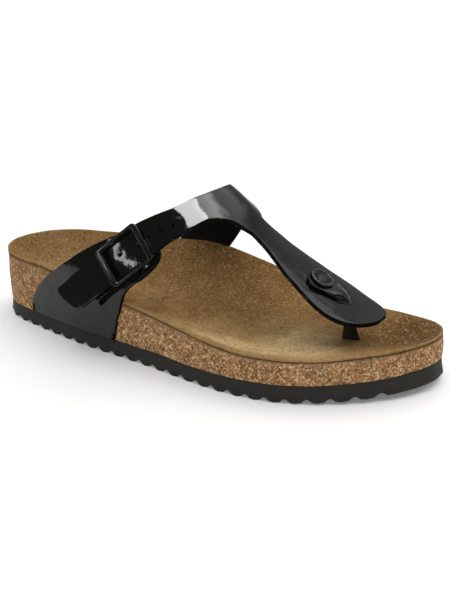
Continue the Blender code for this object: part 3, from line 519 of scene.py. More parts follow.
def sole_section(x, depth):
    """One section of the sole, from the lateral floor edge round to the lateral wall."""
    ends = (edge(x, -1), edge(x, 1))
    middle = (ends[0] + ends[1]) / 2
    width = ends[1] - ends[0]
    tuck = min(TUCK, 0.2 * width) if depth else 0.0
    half = min(CHANNEL_WIDE / 2, 0.2 * width)
    deep = GROOVE_DEEP if depth or CHANNEL_X[0] < x < CHANNEL_X[1] else 0.0
    section = [(x, y, z + spring(x)) for y, z in (
        (ends[0] + tuck, depth), (middle - half, depth), (middle - half, deep),
        (middle + half, deep), (middle + half, depth), (ends[1] - tuck, depth))]
    for y, order in ((ends[1], range(1, WALL_STEPS + 1)), (ends[0], range(WALL_STEPS, 0, -1))):
        for step in order:
            share = step / WALL_STEPS
            wx, wy = inset(x, y, SOLE_INSET * share**0.7)
            foot = max(depth, WALL_FOOT) + spring(wx)
            section.append((wx, wy, foot + (SOLE_THICK + spring(wx) - foot) * (share - 0.25) / 0.75))
    return section


END_STEPS = (0.1, 0.5, 1.2, 2.8, 6.0)       # sections near the heel's and the toe's end
GROOVE_REACH = 0.85                         # half a groove, as a share of GROOVE_WIDE
stations = [(x, 0.0) for x in END_STEPS]
for x in np.arange(12.0, LENGTH - 9.0, GROOVE_PITCH):
    for step in np.linspace(-GROOVE_REACH, GROOVE_REACH, 9):
        deep = GROOVE_DEEP * math.cos(step / GROOVE_REACH * math.pi / 2)
        stations.append((x + step * GROOVE_WIDE, deep))
    stations.append((x + GROOVE_PITCH / 2, 0.0))
stations = [station for station in stations if station[0] < LENGTH - 7.0]
stations += [(LENGTH - x, 0.0) for x in END_STEPS[::-1]]
outsole = closed_loft("outsole_lugged", [sole_section(*station) for station in stations], True)
soften(outsole, 0.55, 3, 32)
places = points_of(outsole)
mark(outsole, "edge", np.clip(1 - (places[:, 2] - spring(places[:, 0])) / SCUFFED, 0, 1))
finish_piece(outsole, "outsole")

# %% [markdown]
# ## Footbed and suede cover
# The footbed is pressed from cork granules and latex, with a suede sheet glued on top and cut flush, so the
# side shows cork, a dark glue line and the pale cut edge of the suede. Both are rings of points that step
# from the rim to a line along the middle. The cover also gets what a glued sheet has: faint hollows and a
# hand-pressed mound where the toe post comes up.

# %% Bed shape
BED_STEPS = 110
SPINE_FROM = 27.0           # ends of the line along the middle
SPINE_TO = 240.0
RINGS = (0.90, 0.80, 0.70, 0.60, 0.52, 0.44, 0.37, 0.30, 0.245, 0.195, 0.15, 0.11, 0.08, 0.055, 0.035)
MOUNDS = np.array([
    # x, y, height, spread along, spread across; the second one carries the toe post
    (158, -4, 1.6, 15, 12), (223, -2.6, 0.9, 10, 11)])
HOLLOWS = np.array([
    # x, y, height, spread along, spread across: soft dents of handling and pressing in the cover
    (213, -12, -0.35, 9, 6), (232, 6, -0.3, 8, 7), (185, -36, -0.25, 14, 4), (60, 8, -0.3, 16, 9),
    (140, -30, 0.2, 12, 5), (205, 20, 0.25, 12, 8), (247, -2, 0.25, 6, 10), (95, -12, 0.2, 15, 8),
    (222.5, -2.6, 1.1, 5, 7)])
bed_x = LENGTH / 2 * (1 - np.cos(math.pi * np.arange(BED_STEPS + 1) / BED_STEPS))


def spine(x):
    """Point of the middle line that the rim at x runs down to."""
    along = SPINE_FROM + (SPINE_TO - SPINE_FROM) * x / LENGTH
    return along, (edge(along, -1) + edge(along, 1)) / 2


def bed_point(x, side, depth, drop, hollows=0.0):
    """Point of the cover's face: depth 0 at the rim, 1 on the middle line; drop is how far below."""
    rim_x, rim_y = inset(x, edge(x, side), SOLE_INSET)
    mid_x, mid_y = spine(x)
    rim_z = smooth(BED, 1 if side < 0 else 2, x)
    broad = 2.6 if side < 0 else smooth(BED, 4, x)
    share = (1 - depth**1.15)**broad
    px = rim_x + (mid_x - rim_x) * depth
    py = rim_y + (mid_y - rim_y) * depth
    mid_z = smooth(BED, 3, mid_x)
    pz = mid_z + (rim_z - mid_z) * share - drop + bumps(MOUNDS, px, py)
    return px, py, pz + (hollows * bumps(HOLLOWS, px, py) if hollows else 0.0)


def around(place):
    """Points of one ring: place(x, side) from heel to toe on the lateral side, back on the medial one."""
    return [place(x, -1) for x in bed_x] + [place(x, 1) for x in bed_x[-2:0:-1]]


def bed_ring(depth, drop, hollows=0.0):
    """One ring of the cover's face at a depth in from the rim."""
    return around(lambda x, side: bed_point(x, side, depth, drop, hollows))


def bed_line(drop, hollows=0.0):
    """The cover's face along the middle line."""
    return [bed_point(x, -1, 1.0, drop, hollows) for x in bed_x]


def ring_solid(name, first, rings, final):
    """Closed solid from a line of points, rings of points round it and a closing line."""
    half = len(first) - 1
    count = 2 * half
    faces = []
    for k in range(len(rings) - 1):
        faces += ring_quads(count, k, k + 1)
    start = len(rings) * count
    for line, base in ((start, 0), (start + half + 1, (len(rings) - 1) * count)):
        for i in range(half):
            faces.append((base + i, base + i + 1, line + i + 1, line + i))
            faces.append((base + (count - i) % count, line + i, line + i + 1, base + count - i - 1))
    return new_piece(name, np.concatenate(rings + [first, final]), faces)


print("bed:", 2 * BED_STEPS, "points a ring,", len(RINGS), "rings")

# %% Cork footbed
def cork_wall(height, bulge):
    """Ring of the footbed's wall, height 0 at the outsole and 1 at the top."""
    def place(x, side):
        wx, wy = inset(x, edge(x, side), SOLE_INSET - bulge)
        foot = SOLE_THICK + GAP + spring(wx)
        top = smooth(BED, 1 if side < 0 else 2, x) - COVER_THICK - GAP - 0.1
        return wx, wy, foot + (top - foot) * height
    return around(place)


CORK_BULGE = 0.32           # how far the wall bulges half-way up
PRESSED_DEEP = 3.4          # depth of the paler band under the cover
under = COVER_THICK + GAP
foot_line = [(*spine(x), SOLE_THICK + GAP + spring(spine(x)[0])) for x in bed_x]
walls = [cork_wall(height, CORK_BULGE * math.sin(math.pi * min(height * 1.05, 1)))
         for height in np.linspace(0.985, 0, 12)]
footbed = ring_solid("footbed_cork", bed_line(under), [bed_ring(depth, under) for depth in RINGS]
                     + [bed_ring(0.0, under + 0.1)] + walls, foot_line)


def band_params(rows, parts, across):
    """Finer rows of a strap as x, share and level, stored row by row."""
    grid = []
    for back_x, back_share, front_x, front_share, level in refine(rows, parts):
        if 0 < abs(abs(back_share) - 1) < 0.02 or 0 < abs(abs(front_share) - 1) < 0.02:
            continue        # too close to the fold at the last's foot
        for t in np.arange(across + 1) / across:
            share = back_share + (front_share - back_share) * t
            grid.append((back_x + (front_x - back_x) * t, share, level))
    return np.array(grid)


RECESS_ROOM = 0.6           # room round the strap's end in its pocket
RECESS_BELOW = 0.4          # and under the strap's inner face
RECESS_OVER = 3.6           # and past its outer face, out through the footbed's wall


def recess(name, rows, turned_over):
    """Cutter for the pocket in the footbed that a strap's end is glued into."""
    rows = rows.copy()
    rows[0, [1, 3]] += math.copysign(0.012, rows[0, 1])         # a little deeper than the strap's end
    rows += (-RECESS_ROOM, 0, RECESS_ROOM, 0, 0)
    grid = band_params(rows, 1, 8)
    points = [lifted(x, share, level - RECESS_BELOW) for x, share, level in grid]
    item = new_piece(name, points, grid_faces(len(rows), 9, 0, turned_over), closed=False)
    modify(item, "SOLIDIFY", thickness=(STRAP_THICK + RECESS_BELOW + RECESS_OVER) * MM, offset=1.0,
           use_even_offset=True)
    return item


def recesses():
    """The pockets for the side strap and for the T-strap's medial end."""
    return [recess("side_recess", SIDE[:8], True), recess("arm_recess", BAND[-8:][::-1], False)]


def bed_slit():
    """Cutter for the slit that the toe post goes down through."""
    x_low, x_high, width = BED_SLIT
    corners = [(x, POST_Y + y, z) for x in (x_low, x_high) for y in (-width / 2, width / 2)
               for z in BED_SLIT_Z]
    faces = [(0, 1, 3, 2), (4, 6, 7, 5), (0, 4, 5, 1), (2, 3, 7, 6), (0, 2, 6, 4), (1, 5, 7, 3)]
    return new_piece("bed_slit", corners, faces)


punch(footbed, recesses() + [bed_slit()])
UNEVEN = {"cork": 0.10, "suede": 0.06, "strap": 0.04}       # how far a face wanders, in millimetres
rng = np.random.default_rng(11)
waves = [(rng.normal(size=3) / spread, rng.uniform(0, 6.28), spread)
         for spread in (2.2, 3.0, 4.5, 7.0) for _ in range(6)]


def uneven(points, size):
    """Small smooth unevenness, the same wherever it is asked for."""
    total = np.zeros(len(points))
    for direction, phase, spread in waves:
        total += np.sin(points @ direction + phase) * spread
    return size * total / 12


places = points_of(footbed)
top_z = np.where(places[:, 1] < 0, smooth(BED, 1, places[:, 0]), smooth(BED, 2, places[:, 0])) - under
mark(footbed, "pressed", np.clip(1 - (top_z - places[:, 2]) / PRESSED_DEEP, 0, 1))
mark(footbed, "edge", np.clip((places[:, 2] - top_z + 1.0), 0, 1))
normals = np.empty(len(places) * 3)
footbed.data.vertices.foreach_get("normal", normals)
move_points(footbed, places + normals.reshape(-1, 3) * uneven(places, UNEVEN["cork"])[:, None])
finish_piece(footbed, "footbed")

# %% Suede cover
RIM_REACH = 3.2             # how far in from the rim the nap is rubbed
edge_rings = [(0.02, 0.0), (0.012, 0.02), (0.006, 0.10), (0.0, 0.34)]       # depth and drop
insole = ring_solid("insole_suede", bed_line(0.0, 1.0),
                    [bed_ring(depth, 0.0, 1.0) for depth in RINGS]
                    + [bed_ring(depth, drop) for depth, drop in edge_rings]
                    + [bed_ring(0.0, 0.9), bed_ring(0.0, COVER_THICK - 0.15), bed_ring(0.006, COVER_THICK)]
                    + [bed_ring(depth, COVER_THICK) for depth in RINGS[::-3]], bed_line(COVER_THICK))
punch(insole, recesses())
places = points_of(insole)
mark(insole, "edge", near_line(insole, np.array(bed_ring(0.0, 0.3)), RIM_REACH))
move_points(insole, places + np.array([0, 0, 1.0]) * uneven(places, UNEVEN["suede"])[:, None])
finish_piece(insole, "insole")

# %% [markdown]
# ## Straps
# Patent strap material is a glossy film on a backing, lined with felt and cut with a die, so its edge shows
# the dark fibres of the layers. It is modelled as a sheet on the last that Solidify gives its thickness,
# with one finish for the film, one for the lining and one for the cut edge. Soft troughs and ridges go into
# the sheet at places given in the shoe's own sizes: where the strap bows over the buckle's bar,
# where it has been bent on a foot, and where punched holes pull the film down a little.

# %% Soft shapes of the straps
BAND_SOFT = np.array([
    # x, share, height, spread in x, spread in share
    (133, -0.345, -0.15, 6, 0.05), (143, 0.3, 0.25, 6, 0.06), (128, 0.48, -0.3, 8, 0.05),
    (219, 0.18, 0.15, 7, 0.09), (219, -0.3, 0.12, 7, 0.09), (230, -0.02, -0.15, 6, 0.12)])
SIDE_SOFT = np.array([
    (62, -0.84, -0.25, 7, 0.03), (84, -0.9, 0.2, 8, 0.03), (100, -0.76, -0.15, 6, 0.03),
    (55, -0.9, 0.2, 6, 0.03), (126, -0.54, 0.25, 5, 0.03), (118, -0.64, -0.2, 5, 0.03)])
DIMPLE_DEEP = 0.10          # how far a punched hole pulls the film down
DIMPLE_SPREAD = 1.3


def border_of(item):
    """Points of a sheet that lie on its border."""
    work = bmesh.new()
    work.from_mesh(item.data)
    found = from_frame([v.co for v in work.verts if v.is_boundary])
    work.free()
    return found


def make_strap(name, params, faces, soft):
    """A strap laid over the last and thickened outwards; also its middle, normals and border points."""
    levels = params[:, 2] + bumps(soft, params[:, 0], params[:, 1])
    points = np.array([lifted(x, share, level) for (x, share, _), level in zip(params, levels)])
    firm = np.clip((1 - np.abs(params[:, 1])) / 0.1, 0, 1)
    normals = np.array([outward(x, share) for x, share, _ in params])
    points += normals * (uneven(points, UNEVEN["strap"]) * firm)[:, None]
    if soft is BAND_SOFT:
        for place in STRAP_HOLES:
            away = ((points - lifted(*place, STRAP_LEVEL))**2).sum(axis=1)
            points -= normals * (DIMPLE_DEEP * np.exp(-away / 2.0 / DIMPLE_SPREAD**2))[:, None]
    item = new_piece(name, points, faces, closed=False)
    border = border_of(item)
    modify(item, "SOLIDIFY", thickness=STRAP_THICK * MM, offset=1.0, use_even_offset=True,
           use_quality_normals=True)
    bake(item)
    print(name, "is a sheet of", len(params), "points,", len(border), "of them on its border")
    return item, (points + normals * STRAP_THICK / 2, normals, border)


FILM_FACING = (0.85, 0.2)       # a face is film if it faces out more than this: near the border, elsewhere
LINING_FACING = -0.6
CUT_REACH = 3.2                 # how near the border that is


def finish_strap(item, middle, normals, border):
    """Round a strap's cut edges, then give film, lining and edge their finishes by how they face."""
    soften(item, 0.35, 3, 50, 50)
    item.data.materials.clear()
    for finish in (patent_black, felt_lining, cut_edge):
        item.data.materials.append(finish)
    find_middle = finder(to_frame(middle))
    find_border = finder(to_frame(border))
    for face in item.data.polygons:
        facing = face.normal.dot(Vector(normals[find_middle(face.center)[1]]))
        limit = FILM_FACING[0 if find_border(face.center)[2] < CUT_REACH * MM else 1]
        face.material_index = 0 if facing > limit else 1 if facing < LINING_FACING else 2
    mark(item, "edge", near_line(item, border, EDGE_REACH))


print("soft shapes:", len(BAND_SOFT), "in the T-strap and", len(SIDE_SOFT), "in the side strap")

# %% Plain finishes to fill in later
def new_finish(name):
    """A finish with a Principled shader; its nodes are added further down."""
    finish = bpy.data.materials.new(name)
    finish.use_nodes = True
    return finish


felt_lining, patent_black, cut_edge = [new_finish(n) for n in ("felt_lining", "patent_black", "cut_edge")]
print("finishes to fill in:", felt_lining.name, patent_black.name, cut_edge.name)

# %% [markdown]
# ### T-strap
# The cross band and the stem that runs to the toes are one piece of material. The band is a grid of rows
# over the instep; the stem's grid starts from a stretch of the band's front edge and shares its points, so
# the crotch between them is smooth.

# %% T-strap
FINE = 5                    # finer rows for each row of a strap's table
ACROSS = 16                 # and steps across it
SIDE_ACROSS = 32
band = band_params(BAND, FINE, ACROSS)
columns = ACROSS + 1
faces = grid_faces(len(band) // columns, columns, 0, True)
root = band[[row * columns + ACROSS for row in range(ROOT[0] * FINE, ROOT[1] * FINE + 1)]]
stem_rows = [root]
for x, lateral_y, medial_y in STEM:
    ys = np.linspace(lateral_y, medial_y, len(root))
    stem_rows.append(np.array([(x, share_at(x, y), STRAP_LEVEL) for y in ys]))
stem = refine(np.array(stem_rows), 4)
faces += grid_faces(len(stem), len(root), len(band))
params = np.concatenate([band, stem.reshape(-1, 3)])
upper, upper_skin = make_strap("upper_patent", params, faces, BAND_SOFT)


# %% Cutters for holes and slits
def axes_at(x, y, z, place):
    """Matrix from three axes and a place."""
    return Matrix([(x[i], y[i], z[i], place[i]) for i in range(3)] + [(0, 0, 0, 1)])


def seat(origin, forward, normal):
    """Matrix of a seat in the frame: u forward, w along the normal, v to complete it."""
    w = Vector(normal).normalized()
    u = Vector(forward)
    u = (u - w * u.dot(w)).normalized()
    v = w.cross(u)
    place = to_frame(origin)
    return axes_at(u, v, w, place)


def prism(name, outline, low, high, matrix=None):
    """Closed cutter over a flat outline, in millimetres of a seat or of the shoe's tables."""
    shift = 0.0 if matrix is None else ORIGIN
    loops = [np.array([(x, y, z) for x, y in outline]) + shift for z in (low, high)]
    item = closed_loft(name, loops, True)
    if matrix is not None:
        item.data.transform(matrix)
    return item


def full_turn(sides):
    """Angles of a full turn in equal steps."""
    return 2 * math.pi * np.arange(sides) / sides


def circle(radius, sides=24, middle=0.0):
    """Points of a circle whose middle lies on the first axis."""
    return [(middle + radius * math.cos(t), radius * math.sin(t)) for t in full_turn(sides)]


buckle_seat = seat(last(*BUCKLE_AT), last(*BUCKLE_AHEAD) - last(*BUCKLE_AT), outward(*BUCKLE_AT))
button_share = share_at(BUTTON_X, POST_Y)
button_seat = seat(last(BUTTON_X, button_share), (1, 0, 0), outward(BUTTON_X, button_share))
lobe_top = STRAP_LEVEL + STRAP_THICK + GAP
plate_top = STRAP_LEVEL - GAP
cap_base = lobe_top + POST_THICK + GAP + 0.15

cutters = [prism("prong_hole", circle(PRONG_HOLE_R, middle=PRONG_REACH), 1.0, 8.0, buckle_seat)]
for place in STRAP_HOLES:
    hole_seat = seat(last(*place), (1, 0, 0), outward(*place))
    cutters.append(prism("strap_hole", circle(HOLE_R), HOLE_FLOOR, 7.5, hole_seat))
slit = refine(LOBE_SLIT, 4)
rim = [(x, POST_Y - half) for x, half in slit] + [(x, POST_Y + half) for x, half in slit[::-1]]
cutters.append(prism("lobe_slit", rim, 26, 50))
cutters.append(prism("shank_hole", circle(SHANK_R + 0.4), plate_top - 1, lobe_top, button_seat))
punch(upper, cutters)
finish_strap(upper, *upper_skin)
finish_piece(upper, "upper")

# %% [markdown]
# ### Side strap
# The side strap is a short wide tab glued into the footbed's outer side. Its two slots let the buckle's
# legs reach the bar that runs underneath, and a third lets the prong swing. Slots are round-ended, as a
# punch makes them.

# %% Side strap
def slot_outline(start, end, width):
    """Round-ended slot between two places."""
    start = np.array(start, float)
    end = np.array(end, float)
    along = (end - start) / np.linalg.norm(end - start)
    across = np.array([-along[1], along[0]])
    outline = []
    for centre, base in ((end, -math.pi / 2), (start, math.pi / 2)):
        for k in range(9):
            turn = base + math.pi * k / 8
            outline.append(tuple(centre + width / 2 * (math.cos(turn) * along + math.sin(turn) * across)))
    return outline


params = band_params(SIDE, FINE, SIDE_ACROSS)
faces = grid_faces(len(params) // (SIDE_ACROSS + 1), SIDE_ACROSS + 1, 0, True)
lateral_strap, side_skin = make_strap("side_strap_patent", params, faces, SIDE_SOFT)
leg = WINDOW[1] / 2 + BAR_SIDE / 2 - 0.1        # where the centre bar's legs stand, to either side
to_seat = buckle_seat.inverted()
cutters = []
for low_end, side in zip(SLOTS, (-1, 1)):
    far = to_seat @ Vector(to_frame(last(*low_end))) / MM
    outline = slot_outline((far.x, far.y), (2.0, side * leg), SLOT_WIDE)
    cutters.append(prism("side_slot", outline, -9, 9, buckle_seat))
outline = slot_outline((-3.4, 0), (PRONG_REACH + 0.6, 0), 2.4)
cutters.append(prism("prong_slot", outline, -6, 6, buckle_seat))
punch(lateral_strap, cutters)
finish_strap(lateral_strap, *side_skin)
finish_piece(lateral_strap, "lateral_strap")

# A dark felt sheet inside the strap, just above its inner face, floors the slots: painted shade for the dark
# of the openings.
inlay_rows = SIDE[4:13] + (1.2, 0, -1.2, 0, 0.04)       # a little inside the strap's border
inlay = band_params(inlay_rows, FINE, ACROSS)
slot_shade_sheet = new_piece("side_strap_slot_shade", [lifted(*place) for place in inlay],
                   grid_faces(len(inlay) // columns, columns, 0, True), closed=False)
modify(slot_shade_sheet, "SOLIDIFY", thickness=0.3 * MM, offset=1.0)
bake(slot_shade_sheet)
slot_shade_sheet.data.materials.append(felt_lining)
mark(slot_shade_sheet, "edge", 0.0)
finish_piece(slot_shade_sheet, "lateral_strap")

# %% [markdown]
# ## Buckle
# The frame and its hidden centre bar are one moulded piece, and the prong is a wire looped round the bar.
# The frame is four loops round its section, rounded with a Bevel, and it sits a little tilted on the strap.
# Its inner edges are marked for a thin pale line painted along each, a painted highlight where light would
# glint on the rounded edge. The bar and the prong are round sections swept along a path.

# %% Buckle
def rounded_loop(low, high, radius, level, corner=8):
    """Rectangle with round corners, as points at one level."""
    loop = []
    for quarter, (x, y) in enumerate((high, (low[0], high[1]), low, (high[0], low[1]))):
        for k in range(corner + 1):
            turn = math.pi / 2 * (quarter + k / corner)
            loop.append((x - math.copysign(radius, x) + radius * math.cos(turn),
                         y - math.copysign(radius, y) + radius * math.sin(turn), level))
    return np.array(loop)


def in_seat(item, matrix):
    """Move a piece made in a seat's millimetres to its place in the frame."""
    item.data.transform(Matrix.Translation(ORIGIN * MM))
    item.data.transform(matrix)
    return item


def swept(name, path, radius, sides, rounded):
    """Round bar along a path, its ends flat or rounded off."""
    path = np.asarray(path, float)
    tangents = np.gradient(path, axis=0)
    tangents /= np.linalg.norm(tangents, axis=1)[:, None]
    stops = [(point, tangent, 1.0, 0.0) for point, tangent in zip(path, tangents)]
    if rounded:
        for turn in np.radians((30, 60, 80)):
            stops.append((path[-1], tangents[-1], math.cos(turn), radius * math.sin(turn) * 0.8))
    across = np.cross(tangents[0], (0.3, 1.0, 0.2))
    loops = []
    for point, tangent, share, ahead in stops:
        across = across - tangent * np.dot(across, tangent)
        across /= np.linalg.norm(across)
        other = np.cross(tangent, across)
        turns = full_turn(sides)
        loops.append(point + tangent * ahead
                     + radius * share * (np.cos(turns)[:, None] * across + np.sin(turns)[:, None] * other))
    return closed_loft(name, loops, True)


inner_low = (-WINDOW[0] / 2, -WINDOW[1] / 2)
inner_high = (WINDOW[0] / 2, WINDOW[1] / 2 - WINDOW_DROP)
outer_low = (inner_low[0] - BAR_LOW, inner_low[1] - BAR_SIDE)
outer_high = (inner_high[0] + BAR_HIGH, inner_high[1] + BAR_SIDE)
frame_low = FRAME_LEVEL - FRAME_THICK / 2
frame_high = FRAME_LEVEL + FRAME_THICK / 2
outer, inner = (outer_low, outer_high, FRAME_CORNERS[0]), (inner_low, inner_high, FRAME_CORNERS[1])
frame_ring = closed_loft("buckle_frame_moulded", [
    rounded_loop(*corners, level) for corners, level in (
        (outer, frame_high), (inner, frame_high), (inner, frame_low), (outer, frame_low))], False)
soften(frame_ring, 0.45, 4, 60)
low = CENTRE_BAR_LEVEL
far = leg - 0.4             # the frame's upper side is narrower
half_crank = ((0.0, frame_low + 1.0), (0.0, low + 1.6), (0.5, low - 0.2), (1.8, low - 0.9))
crank = [(0, in_by - leg, height) for in_by, height in half_crank] + [(0, -3, low - 0.2), (0, 3, low - 0.2)]
crank += [(0, far - in_by, height) for in_by, height in half_crank[::-1]]
centre_bar = swept("centre_bar", refine(crank, 4), CENTRE_BAR_R, 16, False)
modify(frame_ring, "BOOLEAN", operation="UNION", solver="EXACT", object=centre_bar)
bake(frame_ring)
bpy.data.objects.remove(centre_bar, do_unlink=True)
frame_seat = buckle_seat @ Matrix.Rotation(FRAME_TILT[1], 4, "Y") @ Matrix.Rotation(FRAME_TILT[0], 4, "X")
in_seat(frame_ring, frame_seat)
inner_edge = rounded_loop(*inner, frame_high)
inner_edge = refine(np.vstack([inner_edge, inner_edge[:1]]), 12)
inner_edge = from_frame([frame_seat @ Vector(point * MM) for point in inner_edge])
# the inner edges get the painted pale highlight line
mark(frame_ring, "edge", near_line(frame_ring, inner_edge, 0.75))
finish_piece(frame_ring, "buckle_frame")

turns = np.radians(np.linspace(20, -270, 25))
loop_r = CENTRE_BAR_R + 0.35 + PRONG_R
hook = [(loop_r * math.cos(t), 0, low - 0.2 + loop_r * math.sin(t)) for t in turns]
rise = [(2.4, 0, 0.75), (PRONG_REACH - 1.4, 0, 1.15), (PRONG_REACH - 0.4, 0, 1.5), (PRONG_REACH, 0, 2.4),
        (PRONG_REACH, 0, 5.9)]
prong = in_seat(swept("buckle_prong_wire", hook + list(refine(rise, 3)), PRONG_R, 16, True), buckle_seat)
bake(prong)
mark(prong, "edge", 0.0)
finish_piece(prong, "buckle_prong")

# %% [markdown]
# ## Toe post and button
# The post is a strip of the strap material. One end lies flat on the lobe under the button; then the strip
# folds lengthwise, dives through the slit in the lobe and goes down into the footbed. Its sections are
# lofted one by one, because no two are alike, and rows are added between them for a smooth fold. The button
# is a turned profile with a raised rim; fine radial ribs in its dish stand where such a button has its
# moulded marks.

# %% Toe post
def post_sections():
    """Sections of the folded strip: inner side and outer side of both legs."""
    ridge = []
    for x, height, plain in POST[:, :3]:
        if plain:
            ridge.append((x, POST_Y, height))
        else:
            over = lifted(x, share_at(x, POST_Y), lobe_top + height)
            ridge.append((over[0], POST_Y, over[2]))
    ridge = np.array(ridge)
    tangents = np.gradient(ridge, axis=0)
    tangents /= np.linalg.norm(tangents, axis=1)[:, None]
    loops = []
    for point, tangent, row in zip(ridge, tangents, POST):
        hem_x, hem_z, web, hem = row[3:]
        up = np.array([-tangent[2], 0, tangent[0]])
        inner = []
        outer = []
        for side in (-1, 1):
            turns = np.radians((0, 22, 44, 66, 90))
            leg_points = np.array([
                point + np.array([hem_x * (1 - math.sin(t)), side * (web + (hem - web) * math.cos(t)),
                                  hem_z * (1 - math.sin(t))]) for t in turns])
            out = np.cross(tangent, np.gradient(leg_points, axis=0)) * -side
            out[-1] = up
            out /= np.linalg.norm(out, axis=1)[:, None]
            skin = leg_points + out * POST_THICK
            inner += list(leg_points if side < 0 else leg_points[::-1])
            outer += list(skin if side < 0 else skin[::-1])
        loops.append(np.array(inner + outer[::-1]))
    return np.array(loops)


toe_post = closed_loft("toe_post_strip", refine(post_sections(), 3), True)
punch(toe_post, [prism("post_hole", circle(SHANK_R + 0.4), lobe_top - 1, cap_base + 0.1, button_seat)])
soften(toe_post, 0.3, 3, 50, 50)
toe_post.data.materials.append(patent_black)
mark(toe_post, "edge", 0.0)
finish_piece(toe_post, "toe_post")


# %% Button
def turned(name, profile, sides, ribs, rib_span):
    """Round solid about +Z from radius and height, with radial ribs between two radii."""
    loops = []
    for radius, height in profile:
        turns = full_turn(sides)
        ribbed = rib_span[0] < radius < rib_span[1] and height > cap_base
        lift = 0.16 * np.clip(np.cos(ribs * turns) * 2, -1, 1) if ribbed else np.zeros(sides)
        loops.append(np.stack([radius * np.cos(turns), radius * np.sin(turns), height + lift], axis=1))
    return closed_loft(name, loops, True)


top = cap_base + BUTTON_THICK
dish = top - 0.55
profile = [(0.02, plate_top - PLATE_THICK), (PLATE_R, plate_top - PLATE_THICK), (PLATE_R, plate_top),
           (SHANK_R, plate_top), (SHANK_R, cap_base)]
profile += [(BUTTON_R - inside, height) for inside, height in (
    (0.3, cap_base), (0.0, cap_base + 0.3), (0.0, top - 0.6), (0.2, top - 0.22), (0.65, top), (1.15, top),
    (1.5, top - 0.2), (1.65, dish))]
profile += [(radius, dish + 0.02) for radius in np.linspace(BUTTON_R - 1.8, 2.4, 9)]
profile += [(2.1, dish + 0.05), (1.5, dish + 0.12), (0.8, dish + 0.16), (0.02, dish + 0.17)]
button = in_seat(turned("toe_button_cap", profile, 144, 24, (2.6, BUTTON_R - 2.0)), button_seat)
bake(button)
rim_line = [button_seat @ (Vector((x, y, top)) * MM) for x, y in circle(BUTTON_R - 0.5, 60)]
# the rim gets the painted pale highlight line
mark(button, "edge", near_line(button, from_frame(rim_line), 1.2))
finish_piece(button, "toe_button")

# %% [markdown]
# ## Finishes
# Every finish is worked out from noise, cells and the marks stored on the points, so it holds at any
# distance. Two effects serve several finishes and are node groups: a grain of two noises, and the wear that
# gathers along edges, which on the buckle and the button paints a pale highlight line instead. The
# Principled shader itself stays in each finish, with constant values on its own sockets.

# %% Node helpers
def add_node(tree, kind, inputs=None, **settings):
    """A shader node with its settings and inputs; a socket given as an input is linked."""
    made = tree.nodes.new("ShaderNode" + kind)
    for name, value in settings.items():
        setattr(made, name, value)
    for key, value in (inputs or {}).items():
        if isinstance(value, bpy.types.NodeSocket):
            tree.links.new(value, made.inputs[key])
        else:
            made.inputs[key].default_value = value
    return made


def blend_colours(tree, factor, first, second, kind="MIX"):
    """Colour mix of two colours or sockets."""
    made = add_node(tree, "Mix", {0: factor, 6: first, 7: second}, data_type="RGBA", blend_type=kind)
    return made.outputs[2]


def sums(tree, kind, first, second):
    """One sum on two values or sockets."""
    return add_node(tree, "Math", {0: first, 1: second}, operation=kind, use_clamp=False).outputs[0]


def ramp(tree, factor, stops):
    """Colours or greys along a value, as place and colour pairs."""
    made = add_node(tree, "ValToRGB", {0: factor})
    bar = made.color_ramp
    while len(bar.elements) < len(stops):
        bar.elements.new(0.5)
    for element, (place, colour) in zip(bar.elements, stops):
        element.position = place
        element.color = (*colour, 1.0) if isinstance(colour, tuple) else (colour, colour, colour, 1.0)
    return made.outputs[0]


def noise(tree, scale, detail=3.0, stretch=(1, 1, 1)):
    """Noise in the frame's own space, scale in features a metre."""
    place = add_node(tree, "TexCoord").outputs["Object"]
    if stretch != (1, 1, 1):
        place = add_node(tree, "Mapping", {"Vector": place, "Scale": stretch}).outputs[0]
    return add_node(tree, "TexNoise", {"Vector": place, "Scale": scale, "Detail": detail}).outputs["Fac"]


def stored(tree, name):
    """A number stored on the points."""
    return add_node(tree, "Attribute", attribute_name=name, attribute_type="GEOMETRY").outputs["Fac"]


def end_finish(finish, colour, height, deep, rough=None, **constants):
    """Link a finish's colour, its bump of a depth in metres, and its roughness if it has one."""
    tree = finish.node_tree
    shader = tree.nodes["Principled BSDF"]
    for name, value in constants.items():
        shader.inputs[name.replace("_", " ").title().replace("Ior", "IOR")].default_value = value
    bump = add_node(tree, "Bump", {"Distance": deep, "Height": height})
    for name, value in (("Base Color", colour), ("Normal", bump.outputs[0]), ("Roughness", rough)):
        if value is not None:
            tree.links.new(value, shader.inputs[name])
    print(finish.name, "has", len(tree.nodes), "nodes")


def make_group(name, inputs, outputs):
    """An empty shader node group with float inputs and outputs."""
    tree = bpy.data.node_groups.new(name, "ShaderNodeTree")
    for label, value in inputs:
        socket = tree.interface.new_socket(label, in_out="INPUT", socket_type="NodeSocketFloat")
        socket.default_value = value
    for label in outputs:
        tree.interface.new_socket(label, in_out="OUTPUT", socket_type="NodeSocketFloat")
    return tree, tree.nodes.new("NodeGroupInput").outputs, tree.nodes.new("NodeGroupOutput").inputs


def place_group(tree, group, **inputs):
    """The group placed in a finish with its own values; returns its outputs."""
    made = add_node(tree, "Group", node_tree=group)
    for name, value in inputs.items():
        socket = made.inputs[name.replace("_", " ").title()]
        if isinstance(value, bpy.types.NodeSocket):
            tree.links.new(value, socket)
        else:
            socket.default_value = value
    return made.outputs


# %% Shared groups: grain, and edge wear that also paints highlight lines
grain_group, given, results = make_group("grain", [("Scale", 1000.0), ("Coarse", 0.5)], ["Value", "Height"])
fine = noise(grain_group, given["Scale"], 4.0)
coarse = noise(grain_group, sums(grain_group, "MULTIPLY", given["Scale"], 0.22), 2.0)
mixed = add_node(grain_group, "Mix", {0: given["Coarse"], 2: fine, 3: coarse}, data_type="FLOAT").outputs[0]
grain_group.links.new(mixed, results["Value"])
grain_group.links.new(fine, results["Height"])

